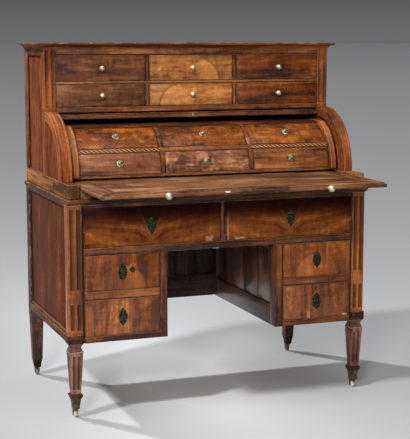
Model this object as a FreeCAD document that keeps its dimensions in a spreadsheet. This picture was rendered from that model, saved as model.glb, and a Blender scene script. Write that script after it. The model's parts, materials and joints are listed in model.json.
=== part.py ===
"""A walnut cylinder bureau: two pedestals on fluted legs, a roll-back cylinder and a drawer case on top.

The desk stands on the floor at z = 0 and faces -Y. It is modelled open: the cylinder rolled back and
the writing slide drawn out. Depths are measured from the lower posts' faces. Each sub-part is then set
back so that the origin is on the floor, midway between the slide's knobs and the desk's back.
"""
import FreeCAD, Part
import os
import re

SIZES = {
    # Lower carcass, from the floor up
    "castor_height": 31,
    "sabot_height": 37,
    "collar_height": 15,
    "leg_height": 142,
    "neck_flare": 14,
    "neck_height": 13,
    "block_height": 31,
    "base_rail": 20,
    "lower_opening": 122,
    "middle_rail": 27,
    "upper_opening": 120,
    "frieze_rail": 24,
    "frieze_opening": 132,
    "waist_rail": 11,
    # Lower carcass, across and deep
    "body_half_width": 533,
    "body_depth": 610,
    "post_side": 46,
    "shadow_strip": 6,
    "shadow_setback": 3,
    "kneehole_half_width": 196,
    "inner_stile": 26,
    "inner_stile_depth": 50,
    "frieze_divider": 12,
    "rail_thickness": 24,
    "side_rail_thickness": 24,
    "side_top_rail": 8,
    "side_bottom_rail": 31,
    "panel_thickness": 10,
    "panel_recess": 8,
    "kneehole_bottom_rail": 68,
    "kneehole_top_rail": 26,
    "kneehole_panel_recess": 8,
    "back_thickness": 16,
    "back_inset": 6,
    "back_bottom_rail": 83,
    "back_top_rail": 60,
    "back_stile": 36,
    "back_panel_thickness": 7,
    "dust_board": 8,
    "drawer_guide_height": 12,
    # Legs, sabots and castors
    "block_overhang": 4,
    "neck_side": 35,
    "leg_top": 46,
    "leg_foot": 31,
    "rear_leg_foot": 34,
    "collar_side": 42,
    "sabot_top": 33,
    "sabot_foot": 24,
    "rear_sabot_height": 30,
    "post_flute_width": 13,
    "post_flute_depth": 3.5,
    "post_fillet": 9,
    "flute_end": 14,
    "flute_square": 10,
    "leg_flute_width": 9,
    "leg_flute_depth": 2.5,
    "leg_fillet": 7,
    "castor_stem_radius": 4,
    "castor_stem_length": 20,
    "castor_crown_radius": 10,
    "castor_crown": 4,
    "castor_trail": 6,
    "castor_cheek": 3,
    "castor_cheek_width": 13,
    "castor_wheel_radius": 11.5,
    "castor_wheel_width": 11,
    "castor_axle_radius": 2,
    # Waist plate and plinth
    "plate_slab": 12,
    "plate_under_mould": 6,
    "plate_overhang": 6,
    "plate_front_overhang": 13,
    "under_mould_spread": 4,
    "plinth_height": 48,
    "plinth_setback": 2,
    "plinth_rail_setback": 12,
    "slide_runner": 50,
    # Upper carcass
    "upper_inset": 3,
    "upper_depth": 304,
    "upper_post_width": 40,
    "upper_post_depth": 44,
    "upper_panel_recess": 7,
    "upper_top_rail": 22,
    "upper_flute_width": 10,
    "upper_flute_depth": 3,
    "upper_fillet": 11,
    "case_bottom_rail": 19,
    "case_lower_opening": 78,
    "case_shelf_rail": 9,
    "case_upper_opening": 91,
    "case_rail_depth": 22,
    "case_divider": 13,
    "case_middle_half_width": 157,
    # Cornice
    "cornice_slab": 8,
    "cornice_mould": 11,
    "cornice_overhang": 20,
    "cornice_front_overhang": 25,
    "cornice_mould_foot": 2,
    "cornice_mould_head": 16,
    # The quarter and what turns in it
    "pivot_clearance": 3,
    "pivot_height": 8,
    "quarter_reveal": 10,
    "quarter_depth": 35,
    "cylinder_radius": 200,
    "cylinder_thickness": 17,
    "cylinder_end_gap": 1.5,
    "cylinder_head_gap": 4,
    "cylinder_lip_angle": 3.2,
    "cylinder_back_angle": 90,
    "cylinder_travel": 90,
    "arm_thickness": 4,
    "arm_end_gap": 1,
    "arm_rim": 12,
    "arm_bar": 14,
    "arm_bar_share": 0.2,
    "arm_hub_radius": 9,
    "pivot_radius": 2.5,
    "pivot_length": 16,
    "pivot_block": 26,
    "pivot_block_width": 22,
    "cylinder_lock_width": 60,
    "cylinder_lock_height": 22,
    "cylinder_lock_thickness": 9,
    "selvage_width": 34,
    "selvage_thickness": 1.5,
    "cylinder_bolt": 8,
    "cylinder_bolt_rise": 0.4,
    # Interior drawers
    "interior_gap": 5.5,
    "interior_shell_gap": 2,
    "interior_end_gap": 1.5,
    "interior_side": 24,
    "interior_front_setback": 13,
    "interior_top_reach": 38.62,
    "interior_board_lip": 2,
    "interior_floor": 6,
    "interior_lining": 4,
    "interior_lower_opening": 73,
    "interior_strip": 13,
    "interior_top": 8,
    "interior_divider": 14,
    "interior_middle_half_width": 155,
    "interior_back": 6,
    "interior_lower_depth": 155,
    "interior_upper_depth": 72,
    # Writing slide
    "slide_drop": 4,
    "slide_thickness": 17,
    "slide_lip": 12,
    "slide_nosing": 6,
    "slide_back_gap": 28,
    "slide_side_gap": 3,
    "slide_reach": 242,
    "slide_knob_offset": 277,
    # Drawers
    "drawer_gap": 1,
    "running_gap": 0.3,
    "drawer_front": 20,
    "drawer_side": 10,
    "drawer_bottom": 6,
    "drawer_groove": 4,
    "drawer_side_drop": 6,
    "drawer_back_gap": 28,
    "small_front": 14,
    "small_side": 7,
    "small_bottom": 5,
    "case_drawer_back_gap": 4,
    "curved_front": 13,
    # Knobs, escutcheons and locks
    "shank_radius": 2.5,
    "shank_clearance": 0.1,
    "knob_radius": 10,
    "knob_stem_radius": 5,
    "knob_stem": 5,
    "slide_knob_radius": 11,
    "slide_shank_length": 20,
    "rosette_radius": 13,
    "rosette_thickness": 2,
    "button_radius": 6,
    "button_height": 11,
    "button_share": 0.45,
    "frieze_lock_offset": 250,
    "escutcheon_width": 31,
    "escutcheon_height": 60,
    "escutcheon_thickness": 1.5,
    "keyhole_radius": 3,
    "keyhole_slot": 2.5,
    "keyhole_length": 9,
    "lock_width": 62,
    "lock_height": 44,
    "lock_thickness": 11,
    # Working sizes
    "overrun": 5,
    "castor_gap": 0.3,
    "castor_fit": 0.05,
}

# Sizes that follow from those above, each worked out in its own cell

DERIVED = {
    "upper_half_width": "body_half_width - upper_inset",
    "upper_setback": "body_depth - upper_depth",
    "pivot_setback": "upper_setback - pivot_clearance",
    "quarter_radius": "cylinder_radius + quarter_reveal",
    "case_floor_height": "plinth_height + pivot_height + cylinder_radius + cylinder_head_gap",
    "cylinder_half_width": "upper_half_width - upper_post_width - cylinder_end_gap",
    "interior_side_radius": "cylinder_radius - cylinder_thickness - interior_shell_gap",
    "interior_front_radius": "interior_side_radius - interior_front_setback",
    "interior_half_width": "cylinder_half_width - arm_end_gap - arm_thickness - interior_end_gap"
                           " - interior_side",
    "interior_rise": "sqrt(interior_front_radius * interior_front_radius"
                     " - interior_top_reach * interior_top_reach)",
    "interior_upper_opening": "interior_rise + pivot_height + slide_drop - interior_gap - interior_floor"
                              " - interior_lining - interior_lower_opening - interior_strip"
                              " - interior_top",
    "slide_half_width": "upper_half_width - upper_post_width - slide_side_gap",
    "slide_depth": "body_depth - back_inset - back_thickness - slide_back_gap",
    "drawer_depth": "body_depth - back_inset - back_thickness - drawer_back_gap",
    "case_drawer_depth": "upper_depth - back_inset - back_thickness - case_drawer_back_gap",
}

STAVE_COUNT = 12
WORD = re.compile(r"[a-z][a-z_]*")
LEFT, RIGHT = "left", "right"
SIDES = (LEFT, RIGHT)

doc = FreeCAD.newDocument("cylinder_bureau")
sheet = doc.addObject("Spreadsheet::Sheet", "Sizes")
nodes = []


def fill_sheet():
    """Writes each size to its own cell, under its own name: a number, or a formula in the others."""
    cells = {alias: str(value) for alias, value in SIZES.items()}
    cells.update({alias: f"={text}" for alias, text in DERIVED.items()})
    for row, (alias, content) in enumerate(cells.items(), start=1):
        sheet.set(f"A{row}", alias)
        sheet.set(f"B{row}", content)
        sheet.setAlias(f"B{row}", alias)
    doc.recompute()


def formula(text):
    """The same formula with each size's name pointing at its cell."""
    def cell(word):
        """A size's name as its cell, and any other word as it is."""
        known = word.group() in SIZES or word.group() in DERIVED
        return f"Sizes.{word.group()}" if known else word.group()

    return WORD.sub(cell, text)


def bind(thing, prop, text):
    """Ties one property of a piece to a formula in the named sizes."""
    thing.setExpression(prop, formula(text))


def in_degrees(angle):
    """An angle as a plain number of degrees, so that it adds to the angles among the sizes."""
    return f"({angle}) / 1deg"


def total(*lengths):
    """One formula for lengths laid end to end."""
    return "(" + " + ".join(lengths) + ")"


def on_side(side, near, far):
    """A span from near to far of the middle, on the left or the right."""
    return (near, far) if side == RIGHT else (f"-({far})", f"-({near})")


def both(half):
    """A span that reaches as far to the left as to the right."""
    return (f"-({half})", half)


# Heights, each built on the one below it

SABOT_TOP = total("castor_height", "sabot_height")
COLLAR_TOP = total(SABOT_TOP, "collar_height")
LEG_TOP = total(COLLAR_TOP, "leg_height")
NECK = total(LEG_TOP, "neck_flare")
CARCASS_BOTTOM = total(NECK, "neck_height")
REAR_SABOT_TOP = total("castor_height", "rear_sabot_height")
BLOCK_TOP = total(CARCASS_BOTTOM, "block_height")
LOWER_FLOOR = total(CARCASS_BOTTOM, "base_rail")
LOWER_CEILING = total(LOWER_FLOOR, "lower_opening")
UPPER_FLOOR = total(LOWER_CEILING, "middle_rail")
KNEEHOLE_TOP = total(UPPER_FLOOR, "upper_opening")
FRIEZE_FLOOR = total(KNEEHOLE_TOP, "frieze_rail")
FRIEZE_CEILING = total(FRIEZE_FLOOR, "frieze_opening")
WAIST = total(FRIEZE_CEILING, "waist_rail")
PLATE_TOP = total(WAIST, "plate_under_mould", "plate_slab")
PLINTH_TOP = total(PLATE_TOP, "plinth_height")
SLIDE_TOP = f"({PLINTH_TOP} - slide_drop)"
SLIDE_BOTTOM = f"({SLIDE_TOP} - slide_thickness)"
PIVOT_Z = total(PLINTH_TOP, "pivot_height")
CASE_BOTTOM = total(PLATE_TOP, "case_floor_height")
CASE_LOWER_FLOOR = total(CASE_BOTTOM, "case_bottom_rail")
CASE_LOWER_CEILING = total(CASE_LOWER_FLOOR, "case_lower_opening")
CASE_UPPER_FLOOR = total(CASE_LOWER_CEILING, "case_shelf_rail")
CASE_UPPER_CEILING = total(CASE_UPPER_FLOOR, "case_upper_opening")
BODY_TOP = total(CASE_UPPER_CEILING, "upper_top_rail")
INTERIOR_BOTTOM = total(SLIDE_TOP, "interior_gap")
INTERIOR_FLOOR_TOP = total(INTERIOR_BOTTOM, "interior_floor")
INTERIOR_LOWER_FLOOR = total(INTERIOR_FLOOR_TOP, "interior_lining")
INTERIOR_LOWER_CEILING = total(INTERIOR_LOWER_FLOOR, "interior_lower_opening")
INTERIOR_UPPER_FLOOR = total(INTERIOR_LOWER_CEILING, "interior_strip")
INTERIOR_UPPER_CEILING = total(INTERIOR_UPPER_FLOOR, "interior_upper_opening")
INTERIOR_TOP = total(INTERIOR_UPPER_CEILING, "interior_top")

# Places across and deep

POST_INNER = "(body_half_width - post_side)"
OPENING_OUTER = f"({POST_INNER} - shadow_strip)"
PEDESTAL_INNER = "(kneehole_half_width + inner_stile)"
UPPER_INNER = "(upper_half_width - upper_post_width)"
REAR_POST = "(body_depth - post_side)"
BACK_FACE = "(body_depth - back_inset - back_thickness)"
UPPER_REAR_POST = "(body_depth - upper_post_depth)"
UPPER_POST_BACK = "(upper_setback + upper_post_depth)"
FRONT_REACH = "(slide_reach + knob_stem + 2 * slide_knob_radius)"
LEG_X = "(body_half_width - post_side / 2)"
LEG_FRONT_Y = "(post_side / 2)"
LEG_REAR_Y = "(body_depth - post_side / 2)"


def board(name, across, deep, high):
    """A square-edged board that fills three spans, each a pair of formulas."""
    box = doc.addObject("Part::Box", name)
    for side, place, (start, end) in zip(("Length", "Width", "Height"), "xyz", (across, deep, high)):
        bind(box, f"Placement.Base.{place}", start)
        bind(box, side, f"({end}) - ({start})")
    return box


def taper(name, centre, foot_side, head_side, bottom, top):
    """A square tapered block about an upright centre line, from its foot to its head."""
    x, y = centre
    wedge = doc.addObject("Part::Wedge", name)
    wedge.Placement.Rotation = FreeCAD.Rotation(FreeCAD.Vector(1, 0, 0), 90)
    for axis in "XZ":
        bind(wedge, f"{axis}min", f"-{foot_side} / 2")
        bind(wedge, f"{axis}max", f"{foot_side} / 2")
        bind(wedge, f"{axis}2min", f"-{head_side} / 2")
        bind(wedge, f"{axis}2max", f"{head_side} / 2")
    bind(wedge, "Ymin", "0")
    bind(wedge, "Ymax", f"({top}) - ({bottom})")
    bind(wedge, "Placement.Base.x", x)
    bind(wedge, "Placement.Base.y", y)
    bind(wedge, "Placement.Base.z", bottom)
    return wedge


def splay(name, foot, head, bottom, top, back):
    """A moulding that spreads on three sides from its foot to its head and stays flush at the back.

    foot and head are each a pair of formulas: the half width and the front.
    """
    wedge = doc.addObject("Part::Wedge", name)
    wedge.Placement.Rotation = FreeCAD.Rotation(FreeCAD.Vector(1, 0, 0), 90)
    for prefix, (half, front) in (("", foot), ("2", head)):
        bind(wedge, f"X{prefix}min", f"-({half})")
        bind(wedge, f"X{prefix}max", half)
        bind(wedge, f"Z{prefix}min", f"-({back})")
        bind(wedge, f"Z{prefix}max", f"-({front})")
    bind(wedge, "Ymin", "0")
    bind(wedge, "Ymax", f"({top}) - ({bottom})")
    bind(wedge, "Placement.Base.z", bottom)
    return wedge


def upright(name, radius, centre, bottom, height):
    """A round piece that stands on its end."""
    x, y = centre
    rod = doc.addObject("Part::Cylinder", name)
    bind(rod, "Radius", radius)
    bind(rod, "Height", height)
    bind(rod, "Placement.Base.x", x)
    bind(rod, "Placement.Base.y", y)
    bind(rod, "Placement.Base.z", bottom)
    return rod


def lying(name, radius, across, centre):
    """A round piece whose axis runs from left to right."""
    start, end = across
    y, z = centre
    rod = doc.addObject("Part::Cylinder", name)
    rod.Placement.Rotation = FreeCAD.Rotation(FreeCAD.Vector(0, 1, 0), 90)
    bind(rod, "Radius", radius)
    bind(rod, "Height", f"({end}) - ({start})")
    bind(rod, "Placement.Base.x", start)
    bind(rod, "Placement.Base.y", y)
    bind(rod, "Placement.Base.z", z)
    return rod


def drum(name, radius, across):
    """A round piece about the cylinder's own axis."""
    return lying(name, radius, across, ("pivot_setback", PIVOT_Z))


def sector(name, radius, across, first, last):
    """A slice of a drum between two angles, counted from the front up and over to the back."""
    start, end = across
    slice_of_drum = doc.addObject("Part::Cylinder", name)
    bind(slice_of_drum, "Radius", radius)
    bind(slice_of_drum, "Height", f"({end}) - ({start})")
    bind(slice_of_drum, "Angle", f"({last}) - ({first})")
    turn = f"rotation(vector(1; 0; 0); -90 - ({last})) * rotation(vector(0; 1; 0); 90)"
    bind(slice_of_drum, "Placement", f"placement(vector({start}; pivot_setback; {PIVOT_Z}); {turn})")
    return slice_of_drum


def cut(name, base, *tools):
    """A piece with one or more tools cut out of it."""
    cutter = tools[0] if len(tools) == 1 else join(f"{name}_tools", *tools)
    result = doc.addObject("Part::Cut", name)
    result.Base, result.Tool = base, cutter
    return result


def join(name, *pieces):
    """Several shapes made into one piece."""
    result = doc.addObject("Part::MultiFuse", name)
    result.Shapes = list(pieces)
    result.Refine = True
    return result


def within(name, *pieces):
    """What several shapes have in common."""
    result = doc.addObject("Part::MultiCommon", name)
    result.Shapes = list(pieces)
    return result


def ring(name, outer, inner, across, deep, high):
    """Part of a ring about the cylinder's axis that lies inside three spans."""
    hoop = cut(f"{name}_hoop", drum(f"{name}_outer", outer, across), drum(f"{name}_inner", inner, across))
    return within(name, hoop, board(f"{name}_limits", across, deep, high))


def node(name, *pieces):
    """Names a sub-part, a group of one or more separate pieces, and places it about the origin."""
    part = doc.addObject("Part::Compound", f"{name}_group")
    part.Links = list(pieces)
    part.Label = name
    bind(part, "Placement.Base.y", f"({FRONT_REACH} - body_depth) / 2")
    nodes.append(part)


# Corner posts

def flute_radius(width, depth):
    """The radius of the round tool that leaves a flute of the given width and depth."""
    return f"(({width} * {width} / 4 + {depth} * {depth}) / (2 * {depth}))"


def flute_cutter(name, width, depth, middle, face_y, bottom, height):
    """An upright rod whose edge sinks a round flute of the given width and depth into a front face."""
    radius = flute_radius(width, depth)
    return upright(name, radius, (middle, f"({face_y}) - ({radius}) + ({depth})"), bottom, height)


def tilted_flute(name, x, y, face, offset):
    """A flute down one face of a tapered leg.

    face is the outward direction of the face, and offset the flute's place across it.
    """
    radius = flute_radius("leg_flute_width", "leg_flute_depth")
    lean = "atan((leg_top - leg_foot) / 2 / leg_height)"
    out = f"(leg_foot / 2 + {radius} - leg_flute_depth)"
    rod = doc.addObject("Part::Cylinder", name)
    bind(rod, "Radius", radius)
    bind(rod, "Height", "leg_height - 2 * flute_end")
    rise = f"({COLLAR_TOP} + flute_end)"
    shift = "flute_end * (leg_top - leg_foot) / 2 / leg_height"
    along_x, along_y = face
    if along_x:
        place = f"vector({x} + ({along_x}) * ({out} + {shift}); {y} + ({offset}); {rise})"
        turn = f"rotation(vector(0; 1; 0); ({along_x}) * {lean})"
    else:
        place = f"vector({x} + ({offset}); {y} + ({along_y}) * ({out} + {shift}); {rise})"
        turn = f"rotation(vector(1; 0; 0); -({along_y}) * {lean})"
    bind(rod, "Placement", f"placement({place}; {turn})")
    return rod


def leg_place(side, front):
    """The centre line of a leg."""
    x = LEG_X if side == RIGHT else f"-{LEG_X}"
    return x, LEG_FRONT_Y if front else LEG_REAR_Y


def front_post(corner, side):
    """One timber up to the waist: collar, fluted leg, waisted neck, block and fluted post."""
    x, y = leg_place(side, front=True)
    half_collar = "collar_side / 2"
    timber = join(
        f"{corner}_timber",
        board(f"{corner}_collar", (f"{x} - {half_collar}", f"{x} + {half_collar}"),
              (f"{y} - {half_collar}", f"{y} + {half_collar}"), (SABOT_TOP, COLLAR_TOP)),
        taper(f"{corner}_leg", (x, y), "leg_foot", "leg_top", COLLAR_TOP, LEG_TOP),
        taper(f"{corner}_neck_flare", (x, y), "leg_top", "neck_side", LEG_TOP, NECK),
        taper(f"{corner}_neck", (x, y), "neck_side", "post_side", NECK, CARCASS_BOTTOM),
        board(f"{corner}_block", on_side(side, POST_INNER, "body_half_width + block_overhang"),
              ("-block_overhang", "post_side"), (CARCASS_BOTTOM, BLOCK_TOP)),
        board(f"{corner}_shaft", on_side(side, POST_INNER, "body_half_width"), ("0", "post_side"),
              (CARCASS_BOTTOM, WAIST)),
    )
    leg_step = "(leg_fillet + leg_flute_width) / 2"
    post_step = "(post_fillet + post_flute_width) / 2"
    outward = 1 if side == RIGHT else -1
    # A plain square beside the rail between the pedestal drawers parts the lower flutes from the upper ones
    runs = {
        "low": (f"{BLOCK_TOP} + flute_end", f"{LOWER_CEILING} - flute_square"),
        "high": (f"{UPPER_FLOOR} + flute_square", f"{WAIST} - flute_end"),
    }
    flutes = []
    for number, way in enumerate((-1, 1), start=1):
        flutes += [
            tilted_flute(f"{corner}_side_flute_{number}", x, y, (outward, 0), f"{way} * {leg_step}"),
            tilted_flute(f"{corner}_front_flute_{number}", x, y, (0, -1), f"{way} * {leg_step}"),
        ]
        flutes += [
            flute_cutter(f"{corner}_{run}_flute_{number}", "post_flute_width", "post_flute_depth",
                         f"{x} + {way} * {post_step}", "0", bottom, f"({top}) - ({bottom})")
            for run, (bottom, top) in runs.items()
        ]
    return cut(f"{corner}_post", timber, *flutes)


def rear_post(corner, side):
    """One plain timber up to the waist, its leg tapered straight down from the carcass."""
    return join(
        f"{corner}_post",
        taper(f"{corner}_leg", leg_place(side, front=False), "rear_leg_foot", "post_side",
              REAR_SABOT_TOP, CARCASS_BOTTOM),
        board(f"{corner}_shaft", on_side(side, POST_INNER, "body_half_width"), (REAR_POST, "body_depth"),
              (CARCASS_BOTTOM, WAIST)),
    )


def corner_name(side, front):
    """The word for a corner, such as front_left."""
    return f"{'front' if front else 'rear'}_{side}"


def make_sabot(corner, side, front):
    """A tapered brass shoe round the foot of a leg, with the socket for the castor's stem."""
    centre = leg_place(side, front)
    top = SABOT_TOP if front else REAR_SABOT_TOP
    shell = taper(f"{corner}_sabot_shell", centre, "sabot_foot", "sabot_top", "castor_height", top)
    socket = upright(f"{corner}_socket", "castor_stem_radius + castor_fit", centre,
                     "castor_height - overrun", "castor_stem_length + overrun + castor_gap")
    return cut(f"{corner}_sabot", shell, socket)


def make_corner_posts():
    """The four posts and the brass sabots under them."""
    posts, sabots = [], []
    for front in (True, False):
        for side in SIDES:
            corner = corner_name(side, front)
            posts.append(front_post(corner, side) if front else rear_post(corner, side))
            sabots.append(make_sabot(corner, side, front))
    node("corner_posts", *posts)
    node("sabots", *sabots)


def make_castor(side, front):
    """A swivel fork with its stem, crown, cheeks and axle, and the wheel between them."""
    corner = corner_name(side, front)
    x, y = leg_place(side, front)
    axle_y = f"({y} + castor_trail)"
    crown_top = "(castor_height - castor_gap)"
    crown_bottom = f"({crown_top} - castor_crown)"
    cheek_inner = "(castor_wheel_width / 2 + castor_gap)"
    cheek_outer = f"({cheek_inner} + castor_cheek)"
    cheek_deep = (f"{axle_y} - castor_cheek_width / 2", f"{axle_y} + castor_cheek_width / 2")
    cheek_high = ("castor_wheel_radius - castor_axle_radius * 2", crown_bottom)
    fork = join(
        f"{corner}_fork_body",
        upright(f"{corner}_stem", "castor_stem_radius", (x, y), crown_bottom,
                "castor_crown + castor_gap + castor_stem_length"),
        upright(f"{corner}_crown", "castor_crown_radius", (x, y), crown_bottom, "castor_crown"),
        board(f"{corner}_bridge", (f"{x} - {cheek_outer}", f"{x} + {cheek_outer}"), cheek_deep,
              (crown_bottom, crown_top)),
        board(f"{corner}_cheek_left", (f"{x} - {cheek_outer}", f"{x} - {cheek_inner}"), cheek_deep,
              cheek_high),
        board(f"{corner}_cheek_right", (f"{x} + {cheek_inner}", f"{x} + {cheek_outer}"), cheek_deep,
              cheek_high),
        lying(f"{corner}_axle", "castor_axle_radius", (f"{x} - {cheek_outer}", f"{x} + {cheek_outer}"),
              (axle_y, "castor_wheel_radius")),
    )
    across = (f"{x} - castor_wheel_width / 2", f"{x} + castor_wheel_width / 2")
    wheel = cut(
        f"{corner}_wheel_body",
        lying(f"{corner}_tread", "castor_wheel_radius", across, (axle_y, "castor_wheel_radius")),
        lying(f"{corner}_bore", "castor_axle_radius + castor_fit", across,
              (axle_y, "castor_wheel_radius")),
    )
    node(f"castor_fork_{corner}", fork)
    node(f"castor_wheel_{corner}", wheel)


# Lower carcass

def make_base_frame():
    """Rails, stiles and muntins of the lower carcass, front, sides, kneehole and back."""
    front_deep = ("0", "rail_thickness")
    pieces = [
        board("frieze_front_rail", both(OPENING_OUTER), front_deep, (KNEEHOLE_TOP, FRIEZE_FLOOR)),
        board("waist_front_rail", both(OPENING_OUTER), front_deep, (FRIEZE_CEILING, WAIST)),
        board("frieze_front_divider", both("frieze_divider / 2"), front_deep,
              (FRIEZE_FLOOR, FRIEZE_CEILING)),
        board("frieze_long_divider", both("frieze_divider / 2"), ("rail_thickness", BACK_FACE),
              (FRIEZE_FLOOR, FRIEZE_CEILING)),
        board("back_bottom_rail", both(POST_INNER), (BACK_FACE, f"{BACK_FACE} + back_thickness"),
              (CARCASS_BOTTOM, f"{CARCASS_BOTTOM} + back_bottom_rail")),
        board("back_top_rail", both(POST_INNER), (BACK_FACE, f"{BACK_FACE} + back_thickness"),
              (f"{WAIST} - back_top_rail", WAIST)),
        board("back_middle_stile", both("back_stile"), (BACK_FACE, f"{BACK_FACE} + back_thickness"),
              (f"{CARCASS_BOTTOM} + back_bottom_rail", f"{WAIST} - back_top_rail")),
    ]
    for side in SIDES:
        rail_across = on_side(side, PEDESTAL_INNER, OPENING_OUTER)
        stile_across = on_side(side, "kneehole_half_width", PEDESTAL_INNER)
        side_across = on_side(side, "body_half_width - side_rail_thickness", "body_half_width")
        between_posts = ("post_side", REAR_POST)
        kneehole_deep = ("inner_stile_depth", REAR_POST)
        pieces += [
            board(f"{side}_base_rail", rail_across, front_deep, (CARCASS_BOTTOM, LOWER_FLOOR)),
            board(f"{side}_middle_rail", rail_across, front_deep, (LOWER_CEILING, UPPER_FLOOR)),
            board(f"{side}_inner_stile", stile_across, ("0", "inner_stile_depth"),
                  (CARCASS_BOTTOM, KNEEHOLE_TOP)),
            board(f"{side}_shadow_strip", on_side(side, OPENING_OUTER, POST_INNER),
                  ("shadow_setback", "rail_thickness"), (CARCASS_BOTTOM, WAIST)),
            board(f"{side}_side_bottom_rail", side_across, between_posts,
                  (CARCASS_BOTTOM, f"{CARCASS_BOTTOM} + side_bottom_rail")),
            board(f"{side}_side_top_rail", side_across, between_posts, (f"{WAIST} - side_top_rail", WAIST)),
            board(f"{side}_kneehole_bottom_rail", stile_across, kneehole_deep,
                  (CARCASS_BOTTOM, f"{CARCASS_BOTTOM} + kneehole_bottom_rail")),
            board(f"{side}_kneehole_top_rail", stile_across, kneehole_deep,
                  (f"{KNEEHOLE_TOP} - kneehole_top_rail", KNEEHOLE_TOP)),
            board(f"{side}_kneehole_rear_stile", stile_across, (REAR_POST, BACK_FACE),
                  (CARCASS_BOTTOM, KNEEHOLE_TOP)),
            board(f"{side}_back_stile", on_side(side, f"{POST_INNER} - back_stile", POST_INNER),
                  (BACK_FACE, f"{BACK_FACE} + back_thickness"),
                  (f"{CARCASS_BOTTOM} + back_bottom_rail", f"{WAIST} - back_top_rail")),
        ]
    node("base_frame", *pieces)


def make_dust_boards():
    """The boards that the lower drawers run on, and the guides beside them."""
    pieces = [board("frieze_dust_board", both(POST_INNER), ("rail_thickness", BACK_FACE),
                    (f"{FRIEZE_FLOOR} - dust_board", FRIEZE_FLOOR))]
    for side in SIDES:
        across = on_side(side, PEDESTAL_INNER, POST_INNER)
        guide = on_side(side, OPENING_OUTER, POST_INNER)
        deep = ("rail_thickness", BACK_FACE)
        for word, floor in (("lower", LOWER_FLOOR), ("upper", UPPER_FLOOR)):
            high = (f"{floor} - dust_board", floor)
            pieces.append(board(f"{side}_{word}_dust_board", across, deep, high))
        for word, floor in (("lower", LOWER_FLOOR), ("upper", UPPER_FLOOR), ("frieze", FRIEZE_FLOOR)):
            high = (floor, f"{floor} + drawer_guide_height")
            pieces.append(board(f"{side}_{word}_guide", guide, deep, high))
    node("dust_boards", *pieces)


def make_frame_panels():
    """The thin panels held in the frames of both carcasses."""
    pieces = []
    back_deep = ("(body_depth - back_inset - (back_thickness + back_panel_thickness) / 2)",
                 "(body_depth - back_inset - (back_thickness - back_panel_thickness) / 2)")
    for side in SIDES:
        low_face = "body_half_width - panel_recess"
        high_face = "upper_half_width - upper_panel_recess"
        high_across = on_side(side, f"{high_face} - panel_thickness", high_face)
        pieces += [
            board(f"{side}_side_panel", on_side(side, f"{low_face} - panel_thickness", low_face),
                  ("post_side", REAR_POST),
                  (f"{CARCASS_BOTTOM} + side_bottom_rail", f"{WAIST} - side_top_rail")),
            board(f"{side}_kneehole_panel",
                  on_side(side, "kneehole_half_width + kneehole_panel_recess",
                          "kneehole_half_width + kneehole_panel_recess + panel_thickness"),
                  ("inner_stile_depth", REAR_POST),
                  (f"{CARCASS_BOTTOM} + kneehole_bottom_rail", f"{KNEEHOLE_TOP} - kneehole_top_rail")),
            board(f"{side}_back_panel", on_side(side, "back_stile", f"{POST_INNER} - back_stile"),
                  back_deep,
                  (f"{CARCASS_BOTTOM} + back_bottom_rail", f"{WAIST} - back_top_rail")),
            board(f"{side}_upper_side_panel", high_across, (UPPER_POST_BACK, UPPER_REAR_POST),
                  (PLINTH_TOP, CASE_UPPER_CEILING)),
            within(f"{side}_quarter_panel",
                   drum(f"{side}_quarter_disc", "quarter_radius - quarter_depth", high_across),
                   board(f"{side}_quarter_limits", high_across,
                         ("pivot_setback - quarter_radius", "upper_setback"),
                         (PLINTH_TOP, f"{PIVOT_Z} + quarter_radius"))),
            board(f"{side}_upper_back_panel", on_side(side, "back_stile", UPPER_INNER), back_deep,
                  (f"{PLINTH_TOP} + back_top_rail", f"{BODY_TOP} - back_top_rail")),
        ]
    node("frame_panels", *pieces)


def make_waist():
    """The waist plate with its moulding, and the plinth and runners that stand on it."""
    node(
        "waist_plate",
        join("waist_plate_body",
             splay("waist_under_mould", ("body_half_width", "0"),
                   ("body_half_width + under_mould_spread", "-2 * under_mould_spread"),
                   WAIST, f"{WAIST} + plate_under_mould", "body_depth"),
             board("waist_slab", both("body_half_width + plate_overhang"),
                   ("-plate_front_overhang", "body_depth"), (f"{WAIST} + plate_under_mould", PLATE_TOP))),
    )
    pieces = [
        board("plinth_back", both(UPPER_INNER), (BACK_FACE, f"{BACK_FACE} + back_thickness"),
              (PLATE_TOP, PLINTH_TOP)),
        board("plinth_front_rail", both(f"{UPPER_INNER} - slide_runner"),
              ("plinth_rail_setback", "plinth_rail_setback + rail_thickness"),
              (PLATE_TOP, f"{SLIDE_BOTTOM} - running_gap")),
    ]
    for side in SIDES:
        pieces += [
            board(f"{side}_plinth", on_side(side, UPPER_INNER, "upper_half_width"),
                  ("plinth_setback", "body_depth"), (PLATE_TOP, PLINTH_TOP)),
            board(f"{side}_slide_runner", on_side(side, f"{UPPER_INNER} - slide_runner", UPPER_INNER),
                  ("plinth_rail_setback", BACK_FACE), (PLATE_TOP, f"{SLIDE_BOTTOM} - running_gap")),
        ]
    node("plinth", *pieces)


# Upper carcass

def straight_flute(name, x):
    """A flute tool for the front face of an upper post."""
    return flute_cutter(name, "upper_flute_width", "upper_flute_depth", x, "upper_setback",
                        CASE_LOWER_FLOOR, f"{CASE_UPPER_CEILING} - {CASE_LOWER_FLOOR}")


def curved_flute(name, x):
    """A groove tool that follows the round face of a quarter post."""
    across = (f"{x} - upper_flute_width / 2", f"{x} + upper_flute_width / 2")
    return cut(name, drum(f"{name}_outer", "quarter_radius + overrun", across),
               drum(f"{name}_inner", "quarter_radius - upper_flute_depth", across))


def upper_flutes(name, side, make):
    """The two flutes of an upper post's front face, made by the function given."""
    middle = "(upper_half_width - upper_post_width / 2)"
    x = middle if side == RIGHT else f"-{middle}"
    step = "(upper_fillet + upper_flute_width) / 2"
    return [make(f"{name}_{number}", f"{x} + {way} * {step}")
            for number, way in enumerate((-1, 1), start=1)]


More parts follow.
